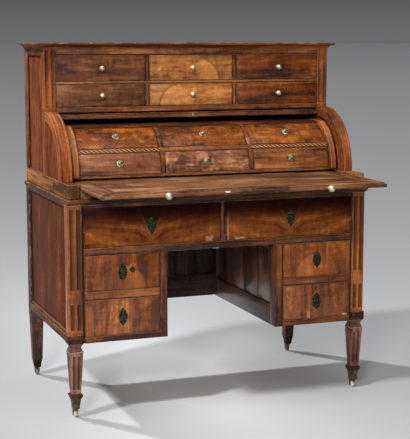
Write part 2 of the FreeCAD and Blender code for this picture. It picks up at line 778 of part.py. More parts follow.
def make_upper_frame():
    """Posts, quarter posts and rails of the upper carcass."""
    pieces = [
        board("upper_back_bottom_rail", both(UPPER_INNER), (BACK_FACE, f"{BACK_FACE} + back_thickness"),
              (PLINTH_TOP, f"{PLINTH_TOP} + back_top_rail")),
        board("upper_back_top_rail", both(UPPER_INNER), (BACK_FACE, f"{BACK_FACE} + back_thickness"),
              (f"{BODY_TOP} - back_top_rail", BODY_TOP)),
        board("upper_back_stile", both("back_stile"), (BACK_FACE, f"{BACK_FACE} + back_thickness"),
              (f"{PLINTH_TOP} + back_top_rail", f"{BODY_TOP} - back_top_rail")),
    ]
    for side in SIDES:
        across = on_side(side, UPPER_INNER, "upper_half_width")
        shaft = board(f"{side}_upper_shaft", across, ("upper_setback", UPPER_POST_BACK),
                      (PLINTH_TOP, BODY_TOP))
        quarter = ring(f"{side}_quarter_ring", "quarter_radius", "quarter_radius - quarter_depth", across,
                       ("pivot_setback - quarter_radius - overrun", "upper_setback"),
                       (PLINTH_TOP, f"{PIVOT_Z} + quarter_radius + overrun"))
        bearing = cut(
            f"{side}_pivot_bearing",
            board(f"{side}_pivot_block", on_side(side, UPPER_INNER, f"{UPPER_INNER} + pivot_block_width"),
                  ("upper_setback - pivot_block", "upper_setback"),
                  (PLINTH_TOP, f"{PLINTH_TOP} + pivot_block")),
            drum(f"{side}_pivot_bore", "pivot_radius + castor_fit",
                 on_side(side, f"{UPPER_INNER} - overrun", f"{UPPER_INNER} + pivot_length")))
        pieces += [
            cut(f"{side}_upper_front_post", shaft,
                *upper_flutes(f"{side}_upper_flute", side, straight_flute)),
            cut(f"{side}_quarter_post", quarter,
                *upper_flutes(f"{side}_quarter_flute", side, curved_flute)),
            bearing,
            board(f"{side}_upper_rear_post", across, (UPPER_REAR_POST, "body_depth"),
                  (PLINTH_TOP, BODY_TOP)),
            board(f"{side}_upper_side_rail", on_side(side, "upper_half_width - side_rail_thickness",
                                                     "upper_half_width"),
                  (UPPER_POST_BACK, UPPER_REAR_POST), (CASE_UPPER_CEILING, BODY_TOP)),
        ]
    node("upper_frame", *pieces)


CASE_COLUMNS = {
    "left": ("-({0})".format(UPPER_INNER), "-(case_middle_half_width + case_divider)"),
    "middle": ("-case_middle_half_width", "case_middle_half_width"),
    "right": ("case_middle_half_width + case_divider", UPPER_INNER),
}
CASE_ROWS = {
    "lower": (CASE_LOWER_FLOOR, CASE_LOWER_CEILING),
    "upper": (CASE_UPPER_FLOOR, CASE_UPPER_CEILING),
}


def make_upper_case():
    """Rails, shelves and dividers of the drawer case."""
    front = ("upper_setback", "upper_setback + case_rail_depth")
    behind = ("upper_setback + case_rail_depth", BACK_FACE)
    pieces = [
        board("case_bottom_rail_piece", both(UPPER_INNER), front, (CASE_BOTTOM, CASE_LOWER_FLOOR)),
        board("case_bottom_board", both(UPPER_INNER), behind,
              (f"{CASE_LOWER_FLOOR} - dust_board", CASE_LOWER_FLOOR)),
        board("case_shelf_rail_piece", both(UPPER_INNER), front, (CASE_LOWER_CEILING, CASE_UPPER_FLOOR)),
        board("case_shelf_board", both(UPPER_INNER), behind,
              (f"{CASE_UPPER_FLOOR} - dust_board", CASE_UPPER_FLOOR)),
        board("case_top_rail_piece", both(UPPER_INNER), front, (CASE_UPPER_CEILING, BODY_TOP)),
    ]
    for side in SIDES:
        across = on_side(side, "case_middle_half_width", "case_middle_half_width + case_divider")
        for word, high in CASE_ROWS.items():
            pieces.append(board(f"{side}_case_{word}_divider", across, ("upper_setback", BACK_FACE), high))
    node("upper_case", *pieces)


def make_cornice():
    """The thin cornice that caps the drawer case."""
    node(
        "cornice",
        join("cornice_body",
             splay("cornice_splay",
                   ("upper_half_width + cornice_mould_foot", "upper_setback - cornice_mould_foot"),
                   ("upper_half_width + cornice_mould_head", "upper_setback - cornice_mould_head"),
                   BODY_TOP, f"{BODY_TOP} + cornice_mould", "body_depth"),
             board("cornice_board", both("upper_half_width + cornice_overhang"),
                   ("upper_setback - cornice_front_overhang", "body_depth"),
                   (f"{BODY_TOP} + cornice_mould", f"{BODY_TOP} + cornice_mould + cornice_slab"))),
    )


# Interior drawers' case

INTERIOR_COLUMNS = {
    "left": ("-interior_half_width", "-(interior_middle_half_width + interior_divider)"),
    "middle": ("-interior_middle_half_width", "interior_middle_half_width"),
    "right": ("interior_middle_half_width + interior_divider", "interior_half_width"),
}
INTERIOR_ROWS = {
    "lower": (INTERIOR_LOWER_FLOOR, INTERIOR_LOWER_CEILING, "interior_lower_depth"),
    "upper": (INTERIOR_UPPER_FLOOR, INTERIOR_UPPER_CEILING, "interior_upper_depth"),
}
INTERIOR_FRONT = "pivot_setback - interior_side_radius"


def round_fronted(name, radius, across, back, high):
    """A board whose front follows the cylinder, out to the given radius."""
    return within(name, drum(f"{name}_disc", radius, across),
                  board(f"{name}_limits", across, (INTERIOR_FRONT, back), high))


def make_interior_case():
    """The small case under the cylinder: round-fronted sides, shelves, dividers and backs."""
    lip = "interior_front_radius + interior_board_lip"
    inside = both("interior_half_width")
    lower_back = "(pivot_setback + interior_lower_depth)"
    upper_back = "(pivot_setback + interior_upper_depth)"
    full_back = "pivot_setback + interior_side_radius"
    behind_shell = "(pivot_setback + cylinder_radius + interior_gap)"
    floor_across = both("interior_half_width + interior_side")
    floor_high = (INTERIOR_BOTTOM, INTERIOR_FLOOR_TOP)
    pieces = [
        round_fronted("interior_floor_front", lip, floor_across, "pivot_setback", floor_high),
        board("interior_floor_board", floor_across, ("pivot_setback", behind_shell), floor_high),
        board("interior_rear_rail", both(UPPER_INNER), (behind_shell, BACK_FACE),
              (PLINTH_TOP, INTERIOR_LOWER_FLOOR)),
        round_fronted("interior_floor_lining", lip, inside, f"{lower_back} + interior_back",
                      (INTERIOR_FLOOR_TOP, INTERIOR_LOWER_FLOOR)),
        round_fronted("interior_shelf", lip, inside, f"{lower_back} + interior_back",
                      (INTERIOR_LOWER_CEILING, INTERIOR_UPPER_FLOOR)),
        round_fronted("interior_top_board", lip, inside, f"{upper_back} + interior_back",
                      (INTERIOR_UPPER_CEILING, INTERIOR_TOP)),
        board("interior_lower_back", inside, (lower_back, f"{lower_back} + interior_back"),
              (INTERIOR_LOWER_FLOOR, INTERIOR_LOWER_CEILING)),
        board("interior_upper_back", inside, (upper_back, f"{upper_back} + interior_back"),
              (INTERIOR_UPPER_FLOOR, INTERIOR_UPPER_CEILING)),
    ]
    for side in SIDES:
        side_across = on_side(side, "interior_half_width", "interior_half_width + interior_side")
        pieces.append(round_fronted(f"{side}_interior_side", "interior_side_radius", side_across,
                                    full_back, (INTERIOR_FLOOR_TOP, INTERIOR_TOP)))
        across = on_side(side, "interior_middle_half_width",
                         "interior_middle_half_width + interior_divider")
        for word, (floor, ceiling, depth) in INTERIOR_ROWS.items():
            pieces.append(round_fronted(f"{side}_interior_{word}_divider", lip, across,
                                        f"pivot_setback + {depth}", (floor, ceiling)))
    node("interior_case", *pieces)


# The cylinder

OPEN_FRONT = "(cylinder_travel - cylinder_lip_angle)"
OPEN_BACK = "(cylinder_travel + cylinder_back_angle)"
CYLINDER_INNER = "(cylinder_radius - cylinder_thickness)"


def make_cylinder():
    """The coopered shell, the steel arms that carry it on its pivots, and its lock."""
    across = both("cylinder_half_width")
    lock = cylinder_lock()
    staves = []
    for number in range(STAVE_COUNT):
        first = f"{OPEN_FRONT} + ({OPEN_BACK} - {OPEN_FRONT}) * {number} / {STAVE_COUNT}"
        last = f"{OPEN_FRONT} + ({OPEN_BACK} - {OPEN_FRONT}) * {number + 1} / {STAVE_COUNT}"
        name = f"stave_{number + 1}"
        hollows = [sector(f"{name}_inner", CYLINDER_INNER, across, first, last)]
        if not staves:
            hollows += lock
        staves.append(cut(name, sector(f"{name}_outer", "cylinder_radius", across, first, last), *hollows))
    node("cylinder_shell", *staves)
    node("cylinder_arms", *[cylinder_arm(side) for side in SIDES])
    node("cylinder_lock", *lock)


def cylinder_arm(side):
    """A flat steel arm: a rim under the shell's end, two bars, a hub and the pivot pin."""
    outer = "(cylinder_half_width - arm_end_gap)"
    across = on_side(side, f"{outer} - arm_thickness", outer)
    name = f"{side}_arm"
    rim = cut(f"{name}_rim", sector(f"{name}_rim_outer", CYLINDER_INNER, across, OPEN_FRONT, OPEN_BACK),
              sector(f"{name}_rim_inner", f"{CYLINDER_INNER} - arm_rim", across, OPEN_FRONT, OPEN_BACK))
    bars = []
    for word, share in (("front", "arm_bar_share"), ("back", "(1 - arm_bar_share)")):
        angle = f"({OPEN_FRONT} + ({OPEN_BACK} - {OPEN_FRONT}) * {share})"
        start, end = across
        bar = doc.addObject("Part::Box", f"{name}_{word}_bar")
        bind(bar, "Length", f"({end}) - ({start})")
        bind(bar, "Width", "arm_bar")
        bind(bar, "Height", f"{CYLINDER_INNER} - arm_rim / 2")
        turn = f"rotation(vector(1; 0; 0); 90 - {angle})"
        bind(bar, "Placement", f"placement(vector({start}; pivot_setback; {PIVOT_Z}); {turn})"
                               f" * placement(vector(0; -arm_bar / 2; 0); rotation(vector(1; 0; 0); 0))")
        bars.append(bar)
    hub = drum(f"{name}_hub", "arm_hub_radius", across)
    pin = drum(f"{name}_pin", "pivot_radius",
               on_side(side, outer, f"{UPPER_INNER} + pivot_length - arm_end_gap"))
    return join(name, rim, *bars, hub, pin)


def cylinder_lock():
    """The lock let into the lowest stave: its case in the inner face, its selvage and bolt in the edge.

    With the cylinder open, that edge faces forwards.
    """
    outer = f"({CYLINDER_INNER} + cylinder_lock_thickness)"
    selvage_angle = in_degrees("asin(selvage_thickness / cylinder_radius)")
    lock_angle = in_degrees(f"asin(cylinder_lock_height / {CYLINDER_INNER})")
    behind_selvage = f"({OPEN_FRONT} + {selvage_angle})"
    case_across = both("cylinder_lock_width / 2")
    case_span = (behind_selvage, f"{OPEN_FRONT} + {lock_angle}")
    case = cut("lock_case", sector("lock_case_outer", outer, case_across, *case_span),
               sector("lock_case_inner", CYLINDER_INNER, case_across, *case_span))
    selvage_across = both("selvage_width / 2")
    selvage_span = (OPEN_FRONT, behind_selvage)
    selvage = cut("lock_selvage",
                  sector("lock_selvage_outer", "cylinder_radius", selvage_across, *selvage_span),
                  sector("lock_selvage_inner", CYLINDER_INNER, selvage_across, *selvage_span))
    bolt_across = both("cylinder_bolt / 2")
    rise = in_degrees(f"asin(cylinder_bolt_rise / {CYLINDER_INNER})")
    bolt_span = (f"{OPEN_FRONT} - {rise}", OPEN_FRONT)
    bolt_inner = f"({CYLINDER_INNER} + (cylinder_thickness - cylinder_bolt) / 2)"
    bolt = cut("lock_bolt",
               sector("lock_bolt_outer", f"{bolt_inner} + cylinder_bolt", bolt_across, *bolt_span),
               sector("lock_bolt_inner", bolt_inner, bolt_across, *bolt_span))
    return [case, join("lock_selvage_and_bolt", selvage, bolt)]


# Knobs

def turned_knob(name, parts, place, tilt):
    """A knob on its own axis, set on a front at a place and leaning back by a tilt from upright."""
    knob = join(name, *parts)
    x, y, z = place
    bind(knob, "Placement", f"placement(vector({x}; {y}; {z}); rotation(vector(1; 0; 0); {tilt}))")
    return knob


def plain_rod(name, radius, start, length):
    """A short rod on the upright axis, used inside a knob before it is set in place."""
    rod = doc.addObject("Part::Cylinder", name)
    bind(rod, "Radius", radius)
    bind(rod, "Height", length)
    bind(rod, "Placement.Base.z", start)
    return rod


def ball_knob(name, radius, front, place):
    """A ball on a short stem, with a shank through the front."""
    ball = doc.addObject("Part::Sphere", f"{name}_ball")
    bind(ball, "Radius", radius)
    bind(ball, "Placement.Base.z", f"knob_stem + {radius}")
    parts = (
        plain_rod(f"{name}_stem", "knob_stem_radius", "0", f"knob_stem + {radius} / 2"),
        plain_rod(f"{name}_shank", "shank_radius", f"-({front})", front),
        ball,
    )
    return turned_knob(name, parts, place, "90")


def rosette_knob(name, place, tilt):
    """A small button on a round rosette, for a curved front."""
    parts = (
        plain_rod(f"{name}_rosette", "rosette_radius", "0", "rosette_thickness"),
        plain_rod(f"{name}_neck", "button_radius / 2", "0", "button_height"),
        plain_rod(f"{name}_button", "button_radius", "button_height * (1 - button_share)",
                  "button_height * button_share"),
        plain_rod(f"{name}_shank", "shank_radius", "-curved_front", "curved_front"),
    )
    return turned_knob(name, parts, place, tilt)


def shank_bore(name, place, tilt, depth):
    """The hole in a front for a knob's shank."""
    bore = doc.addObject("Part::Cylinder", name)
    bind(bore, "Radius", "shank_radius + shank_clearance")
    bind(bore, "Height", f"({depth}) + 2 * overrun")
    x, y, z = place
    start = f"placement(vector(0; 0; -({depth}) - overrun); rotation(vector(1; 0; 0); 0))"
    bind(bore, "Placement",
         f"placement(vector({x}; {y}; {z}); rotation(vector(1; 0; 0); {tilt})) * {start}")
    return bore


# Drawers

def box_spans(across, high):
    """A drawer's own spans inside its opening, with its gaps taken off."""
    (left, right), (floor, ceiling) = across, high
    own_across = (f"{left} + drawer_gap", f"{right} - drawer_gap")
    own_high = (f"{floor} + running_gap", f"{ceiling} - drawer_gap")
    return own_across, own_high


def drawer_box(name, across, deep, high, side, bottom, shape=None):
    """The sides, back and bottom of a drawer, behind its front.

    shape, where given, is the radius of the round front that the sides and bottom stop at.
    """
    (left, right), (floor, ceiling) = across, high
    start, end = deep
    side_high = (floor, f"{ceiling} - drawer_side_drop")
    bottom_high = (f"{floor} + drawer_groove", f"{floor} + drawer_groove + {bottom}")

    def piece(word, piece_across, piece_high):
        """One board of the box, cut to the round front if there is one."""
        if shape is None:
            return board(f"{name}_{word}", piece_across, (start, f"{end} - {side}"), piece_high)
        limits = board(f"{name}_{word}_limits", piece_across, (start, f"{end} - {side}"), piece_high)
        return within(f"{name}_{word}", drum(f"{name}_{word}_disc", shape, piece_across), limits)

    return [
        piece("left_side", (left, f"{left} + {side}"), side_high),
        piece("right_side", (f"{right} - {side}", right), side_high),
        board(f"{name}_back", across, (f"{end} - {side}", end), side_high),
        piece("bottom", (f"{left} + {side}", f"{right} - {side}"), bottom_high),
    ]


def keyhole(name, x, z, depth):
    """A round hole over a narrow slot, right through a plate or front."""
    start, end = depth
    hole = doc.addObject("Part::Cylinder", f"{name}_round")
    hole.Placement.Rotation = FreeCAD.Rotation(FreeCAD.Vector(1, 0, 0), 90)
    bind(hole, "Radius", "keyhole_radius")
    bind(hole, "Height", f"({end}) - ({start})")
    bind(hole, "Placement.Base.x", x)
    bind(hole, "Placement.Base.y", end)
    bind(hole, "Placement.Base.z", z)
    slot = board(f"{name}_slot", (f"{x} - keyhole_slot / 2", f"{x} + keyhole_slot / 2"), depth,
                 (f"{z} - keyhole_length", z))
    return join(name, hole, slot)


def lozenge(name, x, z):
    """A thin four-sided plate standing on its point, on a drawer's face."""
    halves = []
    for word in ("upper", "lower"):
        half = doc.addObject("Part::Wedge", f"{name}_{word}")
        bind(half, "Xmin", "-escutcheon_width / 2")
        bind(half, "Xmax", "escutcheon_width / 2")
        bind(half, "X2min", "-keyhole_slot / 2")
        bind(half, "X2max", "keyhole_slot / 2")
        bind(half, "Ymin", "0")
        bind(half, "Ymax", "escutcheon_height / 2")
        for end in ("Z", "Z2"):
            bind(half, f"{end}min", "0")
            bind(half, f"{end}max", "escutcheon_thickness")
        turn = 90 if word == "upper" else -90
        half.Placement.Rotation = FreeCAD.Rotation(FreeCAD.Vector(1, 0, 0), turn)
        bind(half, "Placement.Base.x", x)
        bind(half, "Placement.Base.y", "0" if word == "upper" else "-escutcheon_thickness")
        bind(half, "Placement.Base.z", z)
        halves.append(half)
    return join(name, *halves)


def locked_drawer(name, across, high, lock_x):
    """A large drawer with a lock behind its front and an escutcheon on it."""
    (left, right), (floor, ceiling) = box_spans(across, high)
    middle = f"(({floor}) + ({ceiling})) / 2"
    through = ("-overrun", "drawer_front + overrun")
    front = cut(f"{name}_front",
                board(f"{name}_front_board", (left, right), ("0", "drawer_front"), (floor, ceiling)),
                keyhole(f"{name}_front_keyhole", lock_x, middle, through))
    box = drawer_box(name, (left, right), ("drawer_front", "drawer_depth"), (floor, ceiling),
                     "drawer_side", "drawer_bottom")
    node(name, front, *box)
    plate = cut(f"{name}_escutcheon", lozenge(f"{name}_lozenge", lock_x, middle),
                keyhole(f"{name}_plate_keyhole", lock_x, middle, through))
    lock = board(f"{name}_lock_case", (f"{lock_x} - lock_width / 2", f"{lock_x} + lock_width / 2"),
                 ("drawer_front", "drawer_front + lock_thickness"),
                 (f"{middle} - lock_height / 2", f"{middle} + lock_height / 2"))
    node(f"{name}_lock", plate, lock)


def make_locked_drawers():
    """Two frieze drawers and two drawers in each pedestal."""
    for side in SIDES:
        sign = "" if side == RIGHT else "-"
        pedestal = on_side(side, PEDESTAL_INNER, OPENING_OUTER)
        pedestal_lock = f"{sign}({PEDESTAL_INNER} + {OPENING_OUTER}) / 2"
        locked_drawer(f"frieze_drawer_{side}", on_side(side, "frieze_divider / 2", OPENING_OUTER),
                      (FRIEZE_FLOOR, FRIEZE_CEILING), f"{sign}frieze_lock_offset")
        locked_drawer(f"pedestal_drawer_{side}_upper", pedestal, (UPPER_FLOOR, KNEEHOLE_TOP),
                      pedestal_lock)
        locked_drawer(f"pedestal_drawer_{side}_lower", pedestal, (LOWER_FLOOR, LOWER_CEILING),
                      pedestal_lock)


def make_case_drawers():
    """Six drawers with ball knobs in the case on top."""
    for column, across in CASE_COLUMNS.items():
        for row, high in CASE_ROWS.items():
            name = f"case_drawer_{column}_{row}"
            (left, right), (floor, ceiling) = box_spans(across, high)
            place = (f"(({left}) + ({right})) / 2", "upper_setback", f"(({floor}) + ({ceiling})) / 2")
            front = cut(f"{name}_front",
                        board(f"{name}_front_board", (left, right),
                              ("upper_setback", "upper_setback + small_front"), (floor, ceiling)),
                        shank_bore(f"{name}_bore", place, "90", "small_front"))
            box = drawer_box(name, (left, right),
                             ("upper_setback + small_front", "upper_setback + case_drawer_depth"),
                             (floor, ceiling), "small_side", "small_bottom")
            node(name, front, *box)
            node(f"{name}_knob", ball_knob(f"{name}_ball_knob", "knob_radius", "small_front", place))


def rise_angle(level):
    """How far up the inner drawers' round face a level lies, in degrees from the front."""
    return in_degrees(f"asin(({level} - {PIVOT_Z}) / interior_front_radius)")


def make_interior_drawers():
    """Six round-fronted drawers with rosette knobs under the cylinder."""
    for column, across in INTERIOR_COLUMNS.items():
        for row, (low, high, depth) in INTERIOR_ROWS.items():
            name = f"interior_drawer_{column}_{row}"
            (left, right), (floor, ceiling) = box_spans(across, (low, high))
            inner = "interior_front_radius - curved_front"
            back = f"pivot_setback + {depth} - drawer_gap"
            angle = f"(({rise_angle(low)}) + ({rise_angle(high)})) / 2"
            place = (f"(({left}) + ({right})) / 2", f"pivot_setback - interior_front_radius * cos({angle})",
                     f"{PIVOT_Z} + interior_front_radius * sin({angle})")
            tilt = f"90 - ({angle})"
            front = cut(f"{name}_front",
                        ring(f"{name}_front_ring", "interior_front_radius", inner, (left, right),
                             (INTERIOR_FRONT, "pivot_setback"), (floor, ceiling)),
                        shank_bore(f"{name}_bore", place, tilt, "curved_front"))
            box = drawer_box(name, (left, right), (INTERIOR_FRONT, back), (floor, ceiling),
                             "small_side", "small_bottom", inner)
            node(name, front, *box)
            node(f"{name}_knob", rosette_knob(f"{name}_rosette_knob", place, tilt))


def make_writing_slide():
    """The sliding leaf with its stepped nosing, drawn out to its stop, and its two knobs."""
    reach = "slide_depth - slide_reach"
    leaf = join(
        "slide_leaf",
        board("slide_lower", both("slide_half_width"), ("-slide_reach", reach),
              (SLIDE_BOTTOM, f"{SLIDE_BOTTOM} + slide_lip")),
        board("slide_upper", both("slide_half_width - slide_nosing"),
              ("-slide_reach + slide_nosing", reach),
              (f"{SLIDE_BOTTOM} + slide_lip", SLIDE_TOP)),
    )
    knob_z = f"({SLIDE_BOTTOM} + slide_lip / 2)"
    places = [(x, "-slide_reach", knob_z) for x in ("-slide_knob_offset", "slide_knob_offset")]
    bores, knobs = [], []
    for number, place in enumerate(places, start=1):
        bores.append(shank_bore(f"slide_bore_{number}", place, "90", "slide_shank_length"))
        knobs.append(ball_knob(f"slide_knob_{number}", "slide_knob_radius", "slide_shank_length", place))
    node("writing_slide", cut("slide_body", leaf, *bores))
    node("slide_knobs", *knobs)


def check_and_export():
    """Stops on any piece that failed, then writes each sub-part to its own file."""
    doc.recompute()
    broken = [thing.Name for thing in doc.Objects if {"Invalid", "Error"} & set(thing.State)]
    if broken:
        raise RuntimeError(f"pieces that failed: {broken}")
    os.makedirs("parts", exist_ok=True)
    for part in nodes:
        if part.Shape.isNull() or not part.Shape.isValid():
            raise RuntimeError(f"{part.Label} has no valid shape")
    for part in nodes:
        part.Shape.exportStep(f"parts/{part.Label}.step")
        print(f"{part.Label}: {len(part.Shape.Solids)} solids, {part.Shape.Volume / 1000:.1f} cm3")


fill_sheet()
make_corner_posts()
for is_front in (True, False):
    for hand in SIDES:
        make_castor(hand, is_front)
make_base_frame()
make_dust_boards()
make_frame_panels()
make_waist()
make_upper_frame()
make_upper_case()
make_cornice()
make_interior_case()
make_cylinder()
make_writing_slide()
make_locked_drawers()
make_case_drawers()
make_interior_drawers()
check_and_export()
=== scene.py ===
"""Looks of a walnut cylinder bureau: fluted posts, figured veneers, worn polish and old brass.

Every piece is built in metres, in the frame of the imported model. Places and widths come from the boxes of
that model's nodes, and each smaller size is a named field of the class that makes the piece. Depths that are
called deep are counted from the faces of the lower posts towards the back.
"""
import json
import logging
import math
from collections.abc import Iterable, Sequence
from dataclasses import dataclass, replace
from enum import Enum
from functools import cache
from itertools import product

import bmesh
import bpy
from mathutils import Euler, Matrix, Vector


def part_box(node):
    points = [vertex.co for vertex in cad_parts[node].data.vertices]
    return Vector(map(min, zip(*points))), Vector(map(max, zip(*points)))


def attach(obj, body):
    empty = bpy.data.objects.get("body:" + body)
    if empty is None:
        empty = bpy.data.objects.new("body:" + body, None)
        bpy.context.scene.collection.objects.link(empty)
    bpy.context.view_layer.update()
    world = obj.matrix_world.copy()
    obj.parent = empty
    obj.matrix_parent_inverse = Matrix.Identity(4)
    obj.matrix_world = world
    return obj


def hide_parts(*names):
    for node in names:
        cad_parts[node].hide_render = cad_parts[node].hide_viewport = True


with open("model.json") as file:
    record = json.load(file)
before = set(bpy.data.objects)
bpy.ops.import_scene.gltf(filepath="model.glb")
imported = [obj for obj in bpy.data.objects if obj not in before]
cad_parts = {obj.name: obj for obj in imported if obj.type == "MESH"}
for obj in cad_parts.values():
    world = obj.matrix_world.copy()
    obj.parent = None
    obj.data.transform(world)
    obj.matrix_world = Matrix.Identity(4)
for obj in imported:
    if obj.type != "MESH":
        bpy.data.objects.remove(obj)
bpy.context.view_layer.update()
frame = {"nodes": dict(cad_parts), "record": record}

EDGE = 0.0012
CURL_RADIUS = 0.2
GAP = 0.001
RUNNING_GAP = 0.0003
SHARP_ANGLE = math.radians(34)
FORWARD = Vector((0, -1, 0))

Span = tuple[float, float]
Triple = tuple[float, float, float]
Profile = Sequence[tuple[float, float]]
Color = tuple[float, float, float, float]
Socket = bpy.types.NodeSocket

log = logging.getLogger("bureau")


class Axis(Enum):
    """The way the grain of a board runs, as the order of its along, across and depth axes."""

    ACROSS = (0, 2, 1)
    DEEP = (1, 2, 0)
    UPRIGHT = (2, 0, 1)


ACROSS, DEEP, UPRIGHT = Axis


class Side(Enum):
    """The left or right half of the desk, as the sign of x."""

    LEFT = -1
    RIGHT = 1

    @property
    def word(self) -> str:
        """The side's name as the nodes spell it."""
        return self.name.lower()

    def span(self, near: float, far: float) -> Span:
        """A span from near to far of the middle, on this side."""
        return (near, far) if self is Side.RIGHT else (-far, -near)


def both(half: float) -> Span:
    """A span that reaches as far to the left as to the right."""
    return -half, half


def around(centre: float, half: float) -> Span:
    """A span that reaches as far to both sides of a centre."""
    return centre - half, centre + half


def onward(start: float, length: float) -> Span:
    """A span from a start over a length."""
    return start, start + length


def upto(end: float, length: float) -> Span:
    """A span over a length to an end."""
    return end - length, end


def paint(code: str, share: float = 1.0) -> Color:
    """A scene colour from a six-figure screen colour.

    Args:
        code: red, green and blue as two hexadecimal figures each.
        share: the share of its light that is kept.

    Returns:
        The colour in linear light, with full alpha.
    """
    screen = [int(code[i:i + 2], 16) / 255 for i in (0, 2, 4)]
    linear = [c / 12.92 if c <= 0.04045 else ((c + 0.055) / 1.055) ** 2.4 for c in screen]
    return linear[0] * share, linear[1] * share, linear[2] * share, 1.0


class Value:
    """A number, vector or colour that varies over a surface, for Python's operators to work on."""

    def __init__(self, graph: "Graph", socket: Socket) -> None:
        """Keeps the output socket and its graph."""
        self.graph, self.socket = graph, socket

    @staticmethod
    def wide(value: object) -> bool:
        """Whether a value is a vector or a colour."""
        return value.socket.type != "VALUE" if isinstance(value, Value) else isinstance(value, tuple)

    def beside(self, output: str) -> "Value":
        """Another output of the same node."""
        return Value(self.graph, self.socket.node.outputs[output])

    def __add__(self, other: object) -> "Value":
        """The sum with another value."""
        return self.graph.math("ADD", self, other)

    def __sub__(self, other: object) -> "Value":
        """The difference from another value."""
        return self.graph.math("SUBTRACT", self, other)

    def __rsub__(self, other: float) -> "Value":
        """What is left of a number."""
        return self.graph.math("SUBTRACT", other, self)

    def __mul__(self, other: object) -> "Value":
        """The product with another value; a number scales a vector or colour."""
        if Value.wide(self) and not Value.wide(other):
            return self.graph.put("VectorMath", {0: self, 3: other}, operation="SCALE")
        return self.graph.math("MULTIPLY", self, other)

    def __truediv__(self, other: object) -> "Value":
        """The quotient by another value."""
        return self.graph.math("DIVIDE", self, other)

    def __pow__(self, other: object) -> "Value":
        """The power to another value."""
        return self.graph.math("POWER", self, other)

    def __abs__(self) -> "Value":
        """The value without its sign."""
        return self.graph.math("ABSOLUTE", self)


